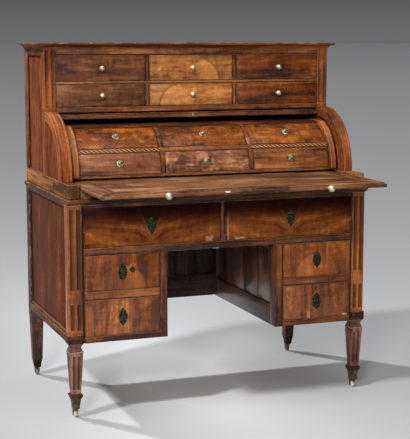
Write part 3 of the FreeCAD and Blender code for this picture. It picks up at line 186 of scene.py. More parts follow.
class Graph:
    """A shader node tree, with short ways to add nodes and link them."""

    def __init__(self, tree: bpy.types.NodeTree) -> None:
        """Keeps the tree that the nodes go into."""
        self.tree = tree

    def node(self, kind: str, **settings: object) -> bpy.types.Node:
        """Adds a node and sets its own properties.

        Args:
            kind: the node's type without its ShaderNode prefix, or a full type name.
            settings: the node's properties by name.

        Returns:
            The new node.
        """
        made = self.tree.nodes.new(kind if kind.startswith("Node") else f"ShaderNode{kind}")
        for name, value in settings.items():
            setattr(made, name, value)
        return made

    def feed(self, target: Socket, value: object) -> None:
        """Links a value to an input socket, or sets the socket to a plain number, vector or colour.

        Args:
            target: the input socket.
            value: what it gets.
        """
        if isinstance(value, Value):
            self.tree.links.new(value.socket, target)
        else:
            target.default_value = value[:3] if target.type == "VECTOR" else value

    def put(self, kind: str, given: dict[int | str, object], output: int | str = 0,
            **settings: object) -> Value:
        """Adds a node, feeds it and reads one of its outputs.

        Args:
            kind: the node's type.
            given: the values that it gets, by the number or name of the input.
            output: the number or name of the output.
            settings: the node's properties by name.

        Returns:
            The output's value.
        """
        made = self.node(kind, **settings)
        for key, value in given.items():
            self.feed(made.inputs[key], value)
        return Value(self, made.outputs[output])

    def math(self, operation: str, *values: object) -> Value:
        """The result of a Math node, or of a Vector Math node where a value is a vector or colour."""
        kind = "VectorMath" if any(Value.wide(value) for value in values) else "Math"
        return self.put(kind, dict(enumerate(values)), operation=operation)

    def most(self, first: object, second: object) -> Value:
        """The greater of two numbers."""
        return self.math("MAXIMUM", first, second)

    def least(self, first: object, second: object) -> Value:
        """The smaller of two numbers."""
        return self.math("MINIMUM", first, second)

    def length(self, value: Value) -> Value:
        """The length of a vector."""
        return self.put("VectorMath", {0: value}, "Value", operation="LENGTH")

    def split(self, value: Value) -> list[Value]:
        """The three components of a vector."""
        made = self.put("SeparateXYZ", {0: value}).socket.node
        return [Value(self, socket) for socket in made.outputs]

    def blend(self, factor: object, first: object, second: object) -> Value:
        """A colour between two colours."""
        return self.put("Mix", {0: factor, 6: first, 7: second}, 2, data_type="RGBA")

    def ramp(self, value: object, start: object, end: object, low: object = 0.0, high: object = 1.0,
             kind: str = "SMOOTHSTEP") -> Value:
        """A smooth step of a value.

        Args:
            value: what is looked up.
            start: where the step begins.
            end: where it ends; it may lie below start.
            low: the result at and before start.
            high: the result at and after end.
            kind: how the result runs between them.

        Returns:
            The stepped value.
        """
        given = dict(enumerate((value, start, end, low, high)))
        return self.put("MapRange", given, interpolation_type=kind, clamp=True)

    def noise(self, place: object, scale: float, detail: float = 2.0, rough: float = 0.5,
              swirl: float = 0.0, output: str = "Fac") -> Value:
        """A noise over a place.

        Args:
            place: where it is looked up.
            scale: features per metre, roughly.
            detail: how many finer layers it adds.
            rough: the strength of the finer layers.
            swirl: how far it is distorted.
            output: Fac for a number or Color for a colour.

        Returns:
            The noise.
        """
        return self.put("TexNoise", {"Vector": place, "Scale": scale, "Detail": detail, "Roughness": rough,
                                     "Distortion": swirl}, output)

    def attribute(self, name: str, output: str = "Vector") -> Value:
        """A vector, or with Fac a number, that each mesh corner carries."""
        return self.put("Attribute", {}, output, attribute_name=name)

    def place(self, group: bpy.types.NodeTree, output: str, **values: object) -> Value:
        """Adds a shader group.

        Args:
            group: the group's tree.
            output: the output that is read.
            values: its inputs by name, in small letters.

        Returns:
            The output's value, whose node has the group's other outputs.
        """
        given = {name.capitalize(): value for name, value in values.items()}
        return self.put("Group", given, output, node_tree=group)

    def polished(self, shader: bpy.types.Node, place: Value, smooth: float, dull: float) -> None:
        """Gives a surface shader the uneven gloss of old polish.

        Args:
            shader: the surface shader.
            place: where the unevenness is looked up.
            smooth: the roughness of the glossiest places.
            dull: the roughness of the dullest ones.
        """
        gloss = self.place(polish_group(), "Roughness", place=place, smooth=smooth, dull=dull)
        self.feed(shader.inputs["Roughness"], gloss)

    def bumped(self, shader: bpy.types.Node, height: Value, strength: float, distance: float) -> None:
        """Gives a surface shader a fine relief.

        Args:
            shader: the surface shader.
            height: the relief.
            strength: how much of it shows.
            distance: how high it stands.
        """
        relief = self.put("Bump", {"Strength": strength, "Distance": distance, "Height": height})
        self.feed(shader.inputs["Normal"], relief)


class Kind(Enum):
    """What a group's socket carries."""

    NUMBER = "NodeSocketFloat"
    VECTOR = "NodeSocketVector"
    COLOR = "NodeSocketColor"


def new_group(name: str, inputs: dict[Kind, str], outputs: dict[Kind, str]) -> tuple[Graph, dict, dict]:
    """Starts a shader group with named sockets.

    Args:
        name: the group's name.
        inputs: the names of its inputs, by what they carry.
        outputs: the names of its outputs, by what they carry.

    Returns:
        The group's graph, its inputs as values and its outputs as sockets to feed.
    """
    tree = bpy.data.node_groups.new(name, "ShaderNodeTree")
    for way, sockets in (("INPUT", inputs), ("OUTPUT", outputs)):
        for kind, labels in sockets.items():
            for label in labels.split():
                tree.interface.new_socket(name=label, in_out=way, socket_type=kind.value)
    graph = Graph(tree)
    source, sink = graph.node("NodeGroupInput"), graph.node("NodeGroupOutput")
    given = {socket.name: Value(graph, socket) for socket in source.outputs if socket.name}
    return graph, given, {socket.name: socket for socket in sink.inputs if socket.name}


@cache
def timber_group() -> bpy.types.NodeTree:
    """The figure of a sawn board or veneer, from its grain coordinates.

    Returns:
        A group that gives the colour and the height of the fibres.
    """
    graph, given, out = new_group(
        "timber", {Kind.VECTOR: "Grain", Kind.NUMBER: "Tone Rings Wild Burr", Kind.COLOR: "Pale Middle Dark"},
        {Kind.COLOR: "Color", Kind.NUMBER: "Height"})
    grain, burr = given["Grain"], given["Burr"]
    drawn = grain * (0.2, 1.0, 1.0)
    bend = graph.noise(drawn, 6.0, 2.0, output="Color") - (0.5, 0.5, 0.5)
    bent = drawn + bend * given["Wild"]
    broad = graph.noise(bent, 11.0, 5.0, 0.62)
    swirl = graph.noise(grain, 17.0, 6.0, 0.62, 1.6)
    mixed = broad * (1.0 - burr) + swirl * burr
    _, across, deep = graph.split(bent)
    phase = (across + deep) * given["Rings"] + mixed * 4.0
    line = graph.ramp(graph.math("SINE", phase * math.tau), 0.15, 1.0)
    cloud = graph.noise(grain * (0.6, 1.0, 1.0), 8.0, 3.0, 0.6)
    ripple = graph.noise(grain * (1.0, 0.3, 0.3), 95.0, 3.0, 0.6)
    streak = graph.noise(grain * (0.08, 1.0, 1.0), 70.0, 5.0, 0.65)
    fibre = graph.noise(grain * (0.03, 1.0, 1.0), 640.0)
    value = given["Tone"]
    for layer, strength in ((mixed, 2.8), (cloud, 1.6), (streak, 1.4), (ripple, 0.7)):
        value = (layer - 0.5) * strength + value
    value = line * -0.16 + (value + 0.52)
    low = graph.blend(graph.ramp(value, 0.0, 0.5), given["Dark"], given["Middle"])
    color = graph.blend(graph.ramp(value, 0.48, 1.0), low, given["Pale"])
    graph.feed(out["Color"], color * graph.ramp(fibre, 0.54, 0.7, 1.0, 0.72))
    graph.feed(out["Height"], line * -0.25 + fibre)
    return graph.tree


@cache
def edge_group() -> bpy.types.NodeTree:
    """Where a board is worn, chipped and dirty along its edges, and the painted light laid on them: a painted
    highlight along upper edges and painted shade in the gaps between parts.

    Returns:
        A group that gives the masks of worn edges, of the painted highlight along upper edges, of chips, and
        of grime mixed with painted gap shade.
    """
    graph, given, out = new_group("edge wear", {Kind.VECTOR: "Place Reach Grain", Kind.NUMBER: "Width"},
                                  {Kind.NUMBER: "Worn Arris Chips Grime"})
    grain, reach, place = given["Grain"], given["Reach"], given["Place"]
    a, b, c = graph.split(reach - abs(place))
    middle = graph.most(graph.least(a, b), graph.least(graph.most(a, b), c))
    rag = graph.noise(grain, 38.0, 5.0, 0.7)
    width = given["Width"] * graph.ramp(rag, 0.4, 0.72, 0.05, 2.4)
    graph.feed(out["Worn"], graph.ramp(middle / width, 1.0, 0.15))
    _, _, under = graph.split(reach - place)
    # Painted highlight: a pale line along each piece's upper edge, where light catches the arris; the rag
    # breaks it up.
    upper = graph.ramp(graph.most(middle, under), 0.0028, 0.0014)
    arris = upper * graph.ramp(rag, 0.3, 0.6, 0.35, 1.0)
    graph.feed(out["Arris"], arris)
    lump = graph.ramp(graph.noise(grain, 24.0, 3.0, 0.6), 0.69, 0.72)
    graph.feed(out["Chips"], lump * graph.ramp(middle, 0.0035, 0.001))
    # Dirt mixed with painted shade: a ragged dark rim, and a near-black core along every edge that darkens
    # the gaps between parts.
    darkening = graph.ramp(graph.noise(grain, 15.0, 4.0, 0.65), 0.35, 0.7, 0.003, 0.010)
    dirt = graph.most(graph.ramp(middle, darkening, 0.0006) * 0.6, graph.ramp(middle, 0.0030, 0.0018))
    graph.feed(out["Grime"], dirt * (1.0 - arris))
    return graph.tree


@cache
def halo_group() -> bpy.types.NodeTree:
    """A soft stain about the point that a figure is centred on, as hands leave about a knob.

    Returns:
        A group that gives the stain's mask.
    """
    graph, given, out = new_group("halo", {Kind.VECTOR: "Figure Grain", Kind.NUMBER: "Radius"},
                                  {Kind.NUMBER: "Mask"})
    ragged = graph.noise(given["Grain"], 16.0, 3.0) * 1.5 + 0.2
    share = graph.length(given["Figure"] * (0.8, 0.0, 1.25)) / (given["Radius"] * ragged)
    graph.feed(out["Mask"], graph.ramp(share, 1.1, 0.25))
    return graph.tree


@cache
def patch_group() -> bpy.types.NodeTree:
    """A small diamond or block of repaired, crossbanded or missing veneer, or of worn polish with a painted
    highlight.

    Returns:
        A group that gives the patch's mask; Lean 1 makes a diamond and 0 a block, Torn frays its outline.
    """
    graph, given, out = new_group("patch", {Kind.VECTOR: "Figure Centre Half", Kind.NUMBER: "Lean Torn"},
                                  {Kind.NUMBER: "Mask"})
    figure, lean = given["Figure"], given["Lean"]
    x, _, z = graph.split(abs((figure - given["Centre"]) / given["Half"]))
    size = (x + z) * lean + graph.most(x, z) * (1.0 - lean)
    rag = graph.noise(figure, 110.0, 5.0, 0.7) - 0.5
    graph.feed(out["Mask"], graph.ramp(rag * (given["Torn"] * 4.0 + 0.3) + size, 1.06, 0.94))
    return graph.tree


@cache
def polish_group() -> bpy.types.NodeTree:
    """The uneven gloss of old French polish or handled metal.

    Returns:
        A group that gives a roughness between Smooth and Dull.
    """
    graph, given, out = new_group("polish", {Kind.VECTOR: "Place", Kind.NUMBER: "Smooth Dull"},
                                  {Kind.NUMBER: "Roughness"})
    cloud = graph.noise(given["Place"], 9.0, 4.0, 0.6)
    rub = graph.noise(given["Place"], 120.0, 3.0, 0.6)
    mixed = rub * 0.35 + cloud * 0.8
    graph.feed(out["Roughness"], graph.ramp(mixed, 0.35, 0.8, given["Smooth"], given["Dull"], "LINEAR"))
    return graph.tree


class Pattern(Enum):
    """How the veneer of a front is laid."""

    PLAIN = "plain"
    CROTCH = "crotch"
    ARCH = "arch"
    DISC = "disc"


@dataclass(frozen=True)
class Patch:
    """A repair or a loss in a veneer, or worn polish with a painted highlight: its centre and half size,
    across and up from the figure's middle.
    """

    centre: tuple[float, float]
    half: tuple[float, float]
    color: str
    diamond: bool = False
    share: float = 0.8
    torn: float = 0.0


@dataclass(frozen=True)
class Wood:
    """A timber with its polish and its wear, and the painted light that some fields add: a highlight along
    upper edges, shade in the gaps and a shadow at the top.
    """

    name: str
    pale: str
    middle: str
    dark: str
    rings: float = 34.0
    wild: float = 0.12
    burr: float = 0.0
    smooth: float = 0.36
    dull: float = 0.62
    coat: float = 0.12
    gloss: float = 0.3
    worn: str = "9c6b43"
    worn_width: float = 0.0016
    worn_share: float = 0.55
    # Strength of the painted highlight along upper edges.
    arris: float = 0.5
    chipped: bool = False
    # Strength of the dark edge rim: dirt mixed with painted shade in the gaps between parts.
    grime: float = 0.85
    # How far down from the top edge a painted shadow of the writing slide reaches; nought for none.
    smoked: float = 0.0
    halo: float = 0.0
    pattern: Pattern = Pattern.PLAIN
    pattern_size: float = 0.08
    pattern_side: int = 0
    patches: tuple[Patch, ...] = ()

    def laid(self, graph: Graph) -> Value:
        """Where the figure is looked up: in the grain, or mirrored about the middle in a crotch veneer.

        Args:
            graph: the material's graph.

        Returns:
            The place in the timber.
        """
        if self.pattern is not Pattern.CROTCH:
            return graph.attribute("grain")
        x, _, z = graph.split(graph.attribute("figure"))
        mirrored = abs(x)
        lift = graph.math("DIVIDE", 0.0016, mirrored + 0.03)
        return graph.put("CombineXYZ", {0: mirrored, 1: z + lift, 2: 0.4})

    def figured(self, graph: Graph, color: Value, grain: Value) -> Value:
        """The colour with the outline and the lighter field of the veneer's pattern.

        Args:
            graph: the material's graph.
            color: the timber's own colour.
            grain: where the figure is looked up.

        Returns:
            The patterned colour.
        """
        if self.pattern is Pattern.PLAIN:
            return color
        figure = graph.attribute("figure")
        x, _, z = graph.split(figure)
        waver = graph.noise(grain, 14.0, 3.0) * 0.3
        if self.pattern is Pattern.CROTCH:
            away = waver * 0.03 + abs(x) - (z + self.pattern_size) * 0.42
            redder = graph.blend(graph.ramp(away, 0.012, -0.002) * 0.5, color, paint(self.dark))
            line = graph.ramp(away, 0.0, 0.003) * graph.ramp(away, 0.009, 0.004)
            return graph.blend(line * 0.22, redder, paint(self.worn))
        disc = self.pattern is Pattern.DISC
        edge, faint, outside = (1.0, 0.0, 0.74) if disc else (1.06, 0.25, 0.9)
        share = graph.length(figure * (1.0, 0.0, 1.0)) / self.pattern_size + waver * 0.4
        side = x * float(self.pattern_side)
        inside = graph.ramp(share, edge + 0.03, edge - 0.01)
        if disc:
            inside = graph.most(inside, graph.ramp(side, 0.001, -0.001))
        strength = graph.ramp(side, -0.03, 0.03, faint, 1.0)
        inner = graph.blend(strength * 0.35, color, paint(self.pale))
        field = graph.blend(inside, color * outside, inner)
        line = graph.ramp(share, edge - 0.07, edge) * graph.ramp(share, edge + 0.1, edge)
        return graph.blend(line * strength * 0.6, field, paint(self.dark))

    @cache
    def material(self) -> bpy.types.Material:
        """The timber as a material.

        Returns:
            A material with figure, pattern, stains, losses, worn edges and polish, a painted highlight along
            upper edges, dirt mixed with painted gap shade, and where set a painted shadow at the top.
        """
        made, graph, shader = new_material(self.name)
        place, reach, plain_grain = (graph.attribute(name) for name in ("place", "reach", "grain"))
        grain = self.laid(graph)
        timber = graph.place(timber_group(), "Color", grain=grain, tone=graph.attribute("tone", "Fac"),
                             pale=paint(self.pale), middle=paint(self.middle), dark=paint(self.dark),
                             rings=self.rings, wild=self.wild, burr=self.burr)
        color = self.figured(graph, timber, grain)
        if self.halo:
            halo = graph.place(halo_group(), "Mask", figure=graph.attribute("figure"), radius=self.halo,
                               grain=plain_grain)
            color = graph.blend(halo * 0.72, color, color * 0.28)
        for patch in self.patches:
            (x, z), (half_x, half_z) = patch.centre, patch.half
            mask = graph.place(patch_group(), "Mask", figure=graph.attribute("figure"), centre=(x, 0.0, z),
                               half=(half_x, 1.0, half_z), lean=float(patch.diamond), torn=patch.torn)
            color = graph.blend(mask * patch.share, color, paint(patch.color))
        edge = graph.place(edge_group(), "Worn", place=place, reach=reach, grain=plain_grain,
                           width=self.worn_width)
        # Grime is dirt mixed with painted gap shade; the arris layer is a painted highlight along upper
        # edges.
        layers = [("Grime", self.grime, paint(self.dark, 0.2)), ("Worn", self.worn_share, paint(self.worn)),
                  ("Arris", self.arris, paint(self.worn))]
        if self.chipped:
            layers.append(("Chips", 0.7, paint("c4a888")))
        for mask, share, tint in layers:
            color = graph.blend(edge.beside(mask) * share, color, tint)
        # Painted shadow: the front darkens towards its top edge, standing in for the writing slide's shadow.
        if self.smoked:
            _, _, under = graph.split(reach - place)
            darkening = graph.ramp(under, self.smoked, self.smoked * 0.25)
            color = graph.blend(darkening, color, color * (0.2, 0.07, 0.06))
        for name, value in (("Base Color", color), ("Coat Weight", self.coat), ("Coat Roughness", 0.2),
                            ("Specular IOR Level", self.gloss)):
            graph.feed(shader.inputs[name], value)
        graph.polished(shader, plain_grain, self.smooth, self.dull)
        graph.bumped(shader, timber.beside("Height"), 0.35, 0.0004)
        return made


def new_material(name: str) -> tuple[bpy.types.Material, Graph, bpy.types.Node]:
    """Starts a material with one surface shader.

    Args:
        name: the material's name.

    Returns:
        The material, its graph and its surface shader.
    """
    made = bpy.data.materials.new(name)
    made.use_nodes = True
    return made, Graph(made.node_tree), made.node_tree.nodes["Principled BSDF"]


@dataclass(frozen=True)
class Metal:
    """A metal with its tarnish, by object coordinates."""

    name: str
    bright: str
    tarnished: str
    share: float = 0.5
    smooth: float = 0.24
    dull: float = 0.5
    metallic: float = 1.0
    grain: float = 90.0

    @cache
    def material(self) -> bpy.types.Material:
        """The metal as a material.

        Returns:
            A material that is bright where it is rubbed and dark where it is not.
        """
        made, graph, shader = new_material(self.name)
        place = graph.put("TexCoord", {}, "Object")
        fine = graph.noise(place, self.grain * 9.0, 3.0, 0.6)
        mixed = fine * 0.4 + graph.noise(place, self.grain, 4.0, 0.62) * 0.8
        shift = 0.3 * (0.5 - self.share)
        mask = graph.ramp(mixed, 0.42 + shift, 0.8 + shift)
        color = graph.blend(mask, paint(self.bright), paint(self.tarnished))
        graph.feed(shader.inputs["Base Color"], color)
        graph.feed(shader.inputs["Metallic"], self.metallic)
        graph.polished(shader, place, self.smooth, self.dull)
        graph.bumped(shader, fine, 0.3, 0.0003)
        return made


@dataclass(frozen=True)
class Earthenware:
    """The glazed cream ware of the castor wheels, with fine dark crazing and dirt."""

    name: str = "cream earthenware"
    glaze: str = "d8ccb2"
    dirt: str = "8c7a5e"
    crazing: float = 420.0

    @cache
    def material(self) -> bpy.types.Material:
        """The glaze as a material.

        Returns:
            A material with crazing and clouds of dirt.
        """
        made, graph, shader = new_material(self.name)
        place = graph.put("TexCoord", {}, "Object")
        cells = graph.put("TexVoronoi", {"Vector": place, "Scale": self.crazing}, "Distance",
                          feature="DISTANCE_TO_EDGE")
        cloud = graph.ramp(graph.noise(place, 130.0, 4.0, 0.6), 0.45, 0.75)
        mask = graph.most(graph.ramp(cells, 0.05, 0.0) * 0.5, cloud * 0.6)
        graph.feed(shader.inputs["Base Color"], graph.blend(mask, paint(self.glaze), paint(self.dirt)))
        graph.polished(shader, place, 0.14, 0.42)
        return made


@dataclass(frozen=True)
class Rope:
    """Inlaid stringing whose slanting pale and dark pieces look like twisted rope."""

    name: str = "rope inlay"
    pale: str = "b67a3c"
    dark: str = "2a120a"
    pitch: float = 0.0162
    slant: float = 1.3

    @cache
    def material(self) -> bpy.types.Material:
        """The inlay as a material.

        Returns:
            A material with slanting stripes.
        """
        made, graph, shader = new_material(self.name)
        x, _, z = graph.split(graph.attribute("place"))
        wave = graph.math("SINE", (z * self.slant + x) / self.pitch * math.tau)
        grain = graph.attribute("grain")
        twist = graph.ramp(graph.noise(grain, 300.0, 3.0) * 0.4 + wave, 0.05, 0.35)
        graph.feed(shader.inputs["Base Color"], graph.blend(twist, paint(self.dark), paint(self.pale)))
        graph.polished(shader, grain, 0.28, 0.5)
        return made


CARCASS = Wood("carcass walnut", "a56232", "743d1a", "36170c", chipped=True)
POSTS = Wood(
    "post walnut", "c06e2c", "934f20", "653417", rings=26.0, worn="c9946a", grime=0.3, smooth=0.34,
    dull=0.55, coat=0.04)
RINGS = Wood(
    "ring walnut", "aa5e28", "80421d", "562a15", rings=26.0, worn="b88258", grime=0.3, smooth=0.5, dull=0.7,
    coat=0.0, gloss=0.18)
# The grey-purple cast of these colours is partly painted sheen, standing in for the polish's reflection over
# the legs' own plum colour.
LEGS = Wood(
    "leg walnut", "a67662", "704c42", "3a2a28", rings=26.0, worn="c0a08a", worn_width=0.002, smooth=0.45,
    dull=0.7, coat=0.0, gloss=0.18)
PANELS = Wood(
    "panel walnut", "86441a", "5c2c0f", "48220c", rings=8.0, smooth=0.5, dull=0.75, coat=0.0, gloss=0.12,
    grime=0.6)
# Darker copies of the post and leg timbers for the flutes' hollows: painted shade in the flutes.
SHADED_FLUTE_WOOD = Wood(
    "fluted hollow walnut", "74401f", "5e3419", "482714", rings=26.0, grime=0.2, coat=0.0, gloss=0.15)
SHADED_LEG_FLUTE_WOOD = Wood(
    "leg hollow walnut", "6e4638", "52342a", "33211c", rings=26.0, grime=0.2, coat=0.0, gloss=0.15)
BEAD = Wood(
    "bead walnut", "7a4228", "51301f", "2e1a13", worn_width=0.001, worn_share=0.3, grime=0.3, smooth=0.5,
    dull=0.75, coat=0.0, gloss=0.14)
KNEEHOLE = Wood(
    "kneehole walnut", "785046", "563631", "2e1a18", rings=14.0, smooth=0.24, dull=0.45, coat=0.3, grime=0.8)
MOULDING = Wood(
    "moulding walnut", "864b2c", "59311e", "2e1710", worn="b98a66", worn_width=0.0022, arris=0.2,
    chipped=True, smooth=0.45, dull=0.7, coat=0.0, gloss=0.16)
PLINTH = Wood(
    "plinth walnut", "b8763c", "8c5528", "4a2812", chipped=True, smooth=0.45, dull=0.7, coat=0.0, gloss=0.2)
CASE = Wood("case walnut", "b36c39", "7c451d", "3f1e11", grime=0.95)
INTERIOR = Wood("interior walnut", "ab6432", "7c3e19", "3a1b0f", grime=0.85)
LIP = Wood("cylinder lip walnut", "a8643a", "7c4224", "42201a")
CYLINDER = Wood("cylinder veneer", "b0703a", "824824", "41221a", rings=26.0, wild=0.2)
SLIDE = Wood("slide walnut", "9f714d", "794d2c", "42271b", smooth=0.42, dull=0.6, coat=0.0, gloss=0.24,
             worn="94704c", worn_width=0.0026, worn_share=0.45, chipped=True, patches=(
                 Patch((-0.077, 0.0), (0.008, 0.003), "e2d6c4", torn=0.3),
                 # The pale patch at the left end is worn polish with a painted highlight on the nosing's
                 # corner.
                 Patch((-0.466, -0.004), (0.014, 0.006), "d0b498", share=0.2, torn=0.8)))
# The frieze fronts carry a painted shadow of the writing slide along their top edge.
FRIEZE = Wood(
    "frieze veneer", "aa6026", "7c4016", "4a1e0c", pattern=Pattern.CROTCH, pattern_size=0.046, smoked=0.09,
    rings=22.0, wild=0.3, burr=0.2, worn="b07a50", chipped=True, coat=0.0, gloss=0.1)
ARCHED = Wood(
    "arched veneer", "c16e2b", "8c4616", "582a14", pattern=Pattern.ARCH, pattern_size=0.082, wild=0.22,
    burr=0.3, pattern_side=-1, chipped=True)
LOWER_FRONT = Wood(
    "lower front veneer", "be773f", "8f4f27", "5e3220", wild=0.25, burr=0.3, rings=20.0, chipped=True)
RED_FRONT = Wood("red drawer veneer", "925931", "63361c", "311414", halo=0.042, rings=22.0, burr=0.3)
GOLDEN_FRONT = Wood(
    "golden drawer veneer", "da9452", "ad6930", "683a1b", burr=0.45, pattern=Pattern.DISC,
    pattern_size=0.080, pattern_side=1)
BROWN_FRONT = Wood("brown drawer veneer", "b05e17", "733608", "391704", halo=0.048, rings=20.0, burr=0.2)
BURR_FRONT = Wood(
    "burr veneer", "b46620", "7f4111", "482108", burr=0.6, wild=0.25, halo=0.02, coat=0.05, gloss=0.2)
SMOOTH_FRONT = Wood("smooth drawer veneer", "b87954", "8a5334", "512e1f", rings=18.0, smooth=0.2, halo=0.02)
PATCHY_FRONT = Wood("patchy burr veneer", "cd9360", "8c5637", "4e2b20", burr=0.8, wild=0.3, halo=0.015,
                    patches=(Patch((-0.014, 0.022), (0.016, 0.014), "c98a68", share=0.5, torn=0.7),
                             Patch((0.072, -0.004), (0.010, 0.022), "b07850", share=0.45, torn=0.7)))
DARK_FRONT = Wood("dark drawer veneer", "b9743d", "874d24", "4c2816", rings=22.0, halo=0.02)
OAK = Wood(
    "drawer oak", "b08a5c", "90693f", "624527", rings=60.0, smooth=0.55, dull=0.8, coat=0.0, worn="b99a70",
    worn_share=0.3, grime=0.4)
BACKING = Wood(
    "back oak", "4e3c34", "382a26", "221a18", rings=44.0, smooth=0.6, dull=0.85, coat=0.0, worn="6d5844",
    worn_share=0.3, grime=0.5, gloss=0.1)
STRINGING = Wood("boxwood stringing", "c4965c", "a87a46", "7d5530", worn_share=0.2, grime=0.0)
# Dark inlaid lines, and also the near-black block that fills each keyhole as painted shade.
EBONY_AND_KEYHOLE_SHADE = Wood("dark line", "2c1a13", "20120d", "140b09", worn_share=0.1, grime=0.0)
KNOB_BRASS = Metal(
    "knob brass", "ecdebc", "b8a678", share=0.25, smooth=0.38, dull=0.55, metallic=0.92, grain=70.0)
ROSETTE_BRASS = Metal("rosette brass", "e2d4b2", "3c3224", share=0.5, smooth=0.34, dull=0.54, grain=90.0)
SABOT_BRASS = Metal("sabot brass", "8a7a5c", "3c3626", share=0.6, smooth=0.34, dull=0.6)
# A darker copy of the sabot brass for the rear feet: painted shade.
SHADED_REAR_BRASS = Metal("dull sabot brass", "4a4234", "24201a", share=0.7, smooth=0.45, dull=0.7)
CASTOR_BRASS = Metal("castor brass", "a8946c", "3c3628", share=0.6, smooth=0.34, dull=0.62)
LOCK_BRASS = Metal("lock brass", "ecd9a8", "a08a5c", share=0.3, dull=0.4)
BRONZE = Metal("dark bronze", "5e5a4a", "141210", share=0.62, smooth=0.34, dull=0.6, grain=150.0)
STEEL = Metal("arm steel", "6f6a64", "2f2a26", share=0.6, smooth=0.38, dull=0.66)
ROPE = Rope()
WARE = Earthenware()
# A darker copy of the wheels' glaze and dirt for the rear wheels: painted shade.
SHADED_WARE = Earthenware("dirty earthenware", "7c7466", "3c362c")

Finish = Wood | Metal | Earthenware | Rope


@dataclass(frozen=True)
class Curl:
    """A round about an axis that runs from left to right, with angles from the front up and over."""

    y: float
    z: float
    radius: float

    def at(self, across: float, out: float, angle: float) -> Vector:
        """The point at a place across, a distance from the axis and an angle in radians."""
        return Vector((across, self.y - out * math.cos(angle), self.z + out * math.sin(angle)))

    def unroll(self, point: Vector) -> Vector:
        """A point as its place across, its height over the round and its way along the round."""
        back, up = self.y - point.y, point.z - self.z
        return Vector((point.x, math.hypot(back, up) - self.radius, math.atan2(up, back) * self.radius))

    def level(self, out: float, height: float) -> float:
        """The angle at which a round of the given radius passes a height, on its front half."""
        return math.asin((height - self.z) / out)

    def arc(self, out: float, first: float, last: float, steps: int) -> list[tuple[float, float]]:
        """Depths and heights along a part of the round.

        Args:
            out: how far from the axis it lies.
            first: the angle at which it starts, in radians.
            last: the angle at which it ends.
            steps: how many steps it has.

        Returns:
            The places in order.
        """
        points = (self.at(0.0, out, first + (last - first) * i / steps) for i in range(steps + 1))
        return [(point.y, point.z) for point in points]


@dataclass(frozen=True)
class Cut:
    """How one board was cut: its middle, its half sizes, its grain and the middle of its figure."""

    middle: Vector
    reach: Vector
    along: Axis = ACROSS
    tone: float = 0.0
    focus: Vector = Vector((0.0, 0.0, 0.0))
    curl: Curl | None = None

    def place(self, point: Vector) -> Vector:
        """A point from the board's middle, unrolled if the board is round."""
        flat = self.curl.unroll(point) if self.curl else point
        return flat - self.middle

    def grain(self, place: Vector) -> Vector:
        """A place with the way of the grain first, moved to this board's own part of the tree.

        Args:
            place: a place from the board's middle.

        Returns:
            The place in the tree.
        """
        first, second, third = (place[i] for i in self.along.value)
        seed = (self.middle.x * 7.3 + self.middle.y * 3.1 + self.middle.z * 11.7) % 9.0
        return Vector((first + seed * 3.7, second + seed * 1.9, third + seed * 0.7))


def middle_of(*spans: Span) -> Vector:
    """The middle of three spans."""
    return Vector(sum(span) / 2 for span in spans)


def reach_of(*spans: Span) -> Vector:
    """Half the size of three spans."""
    return Vector(abs(span[1] - span[0]) / 2 for span in spans)


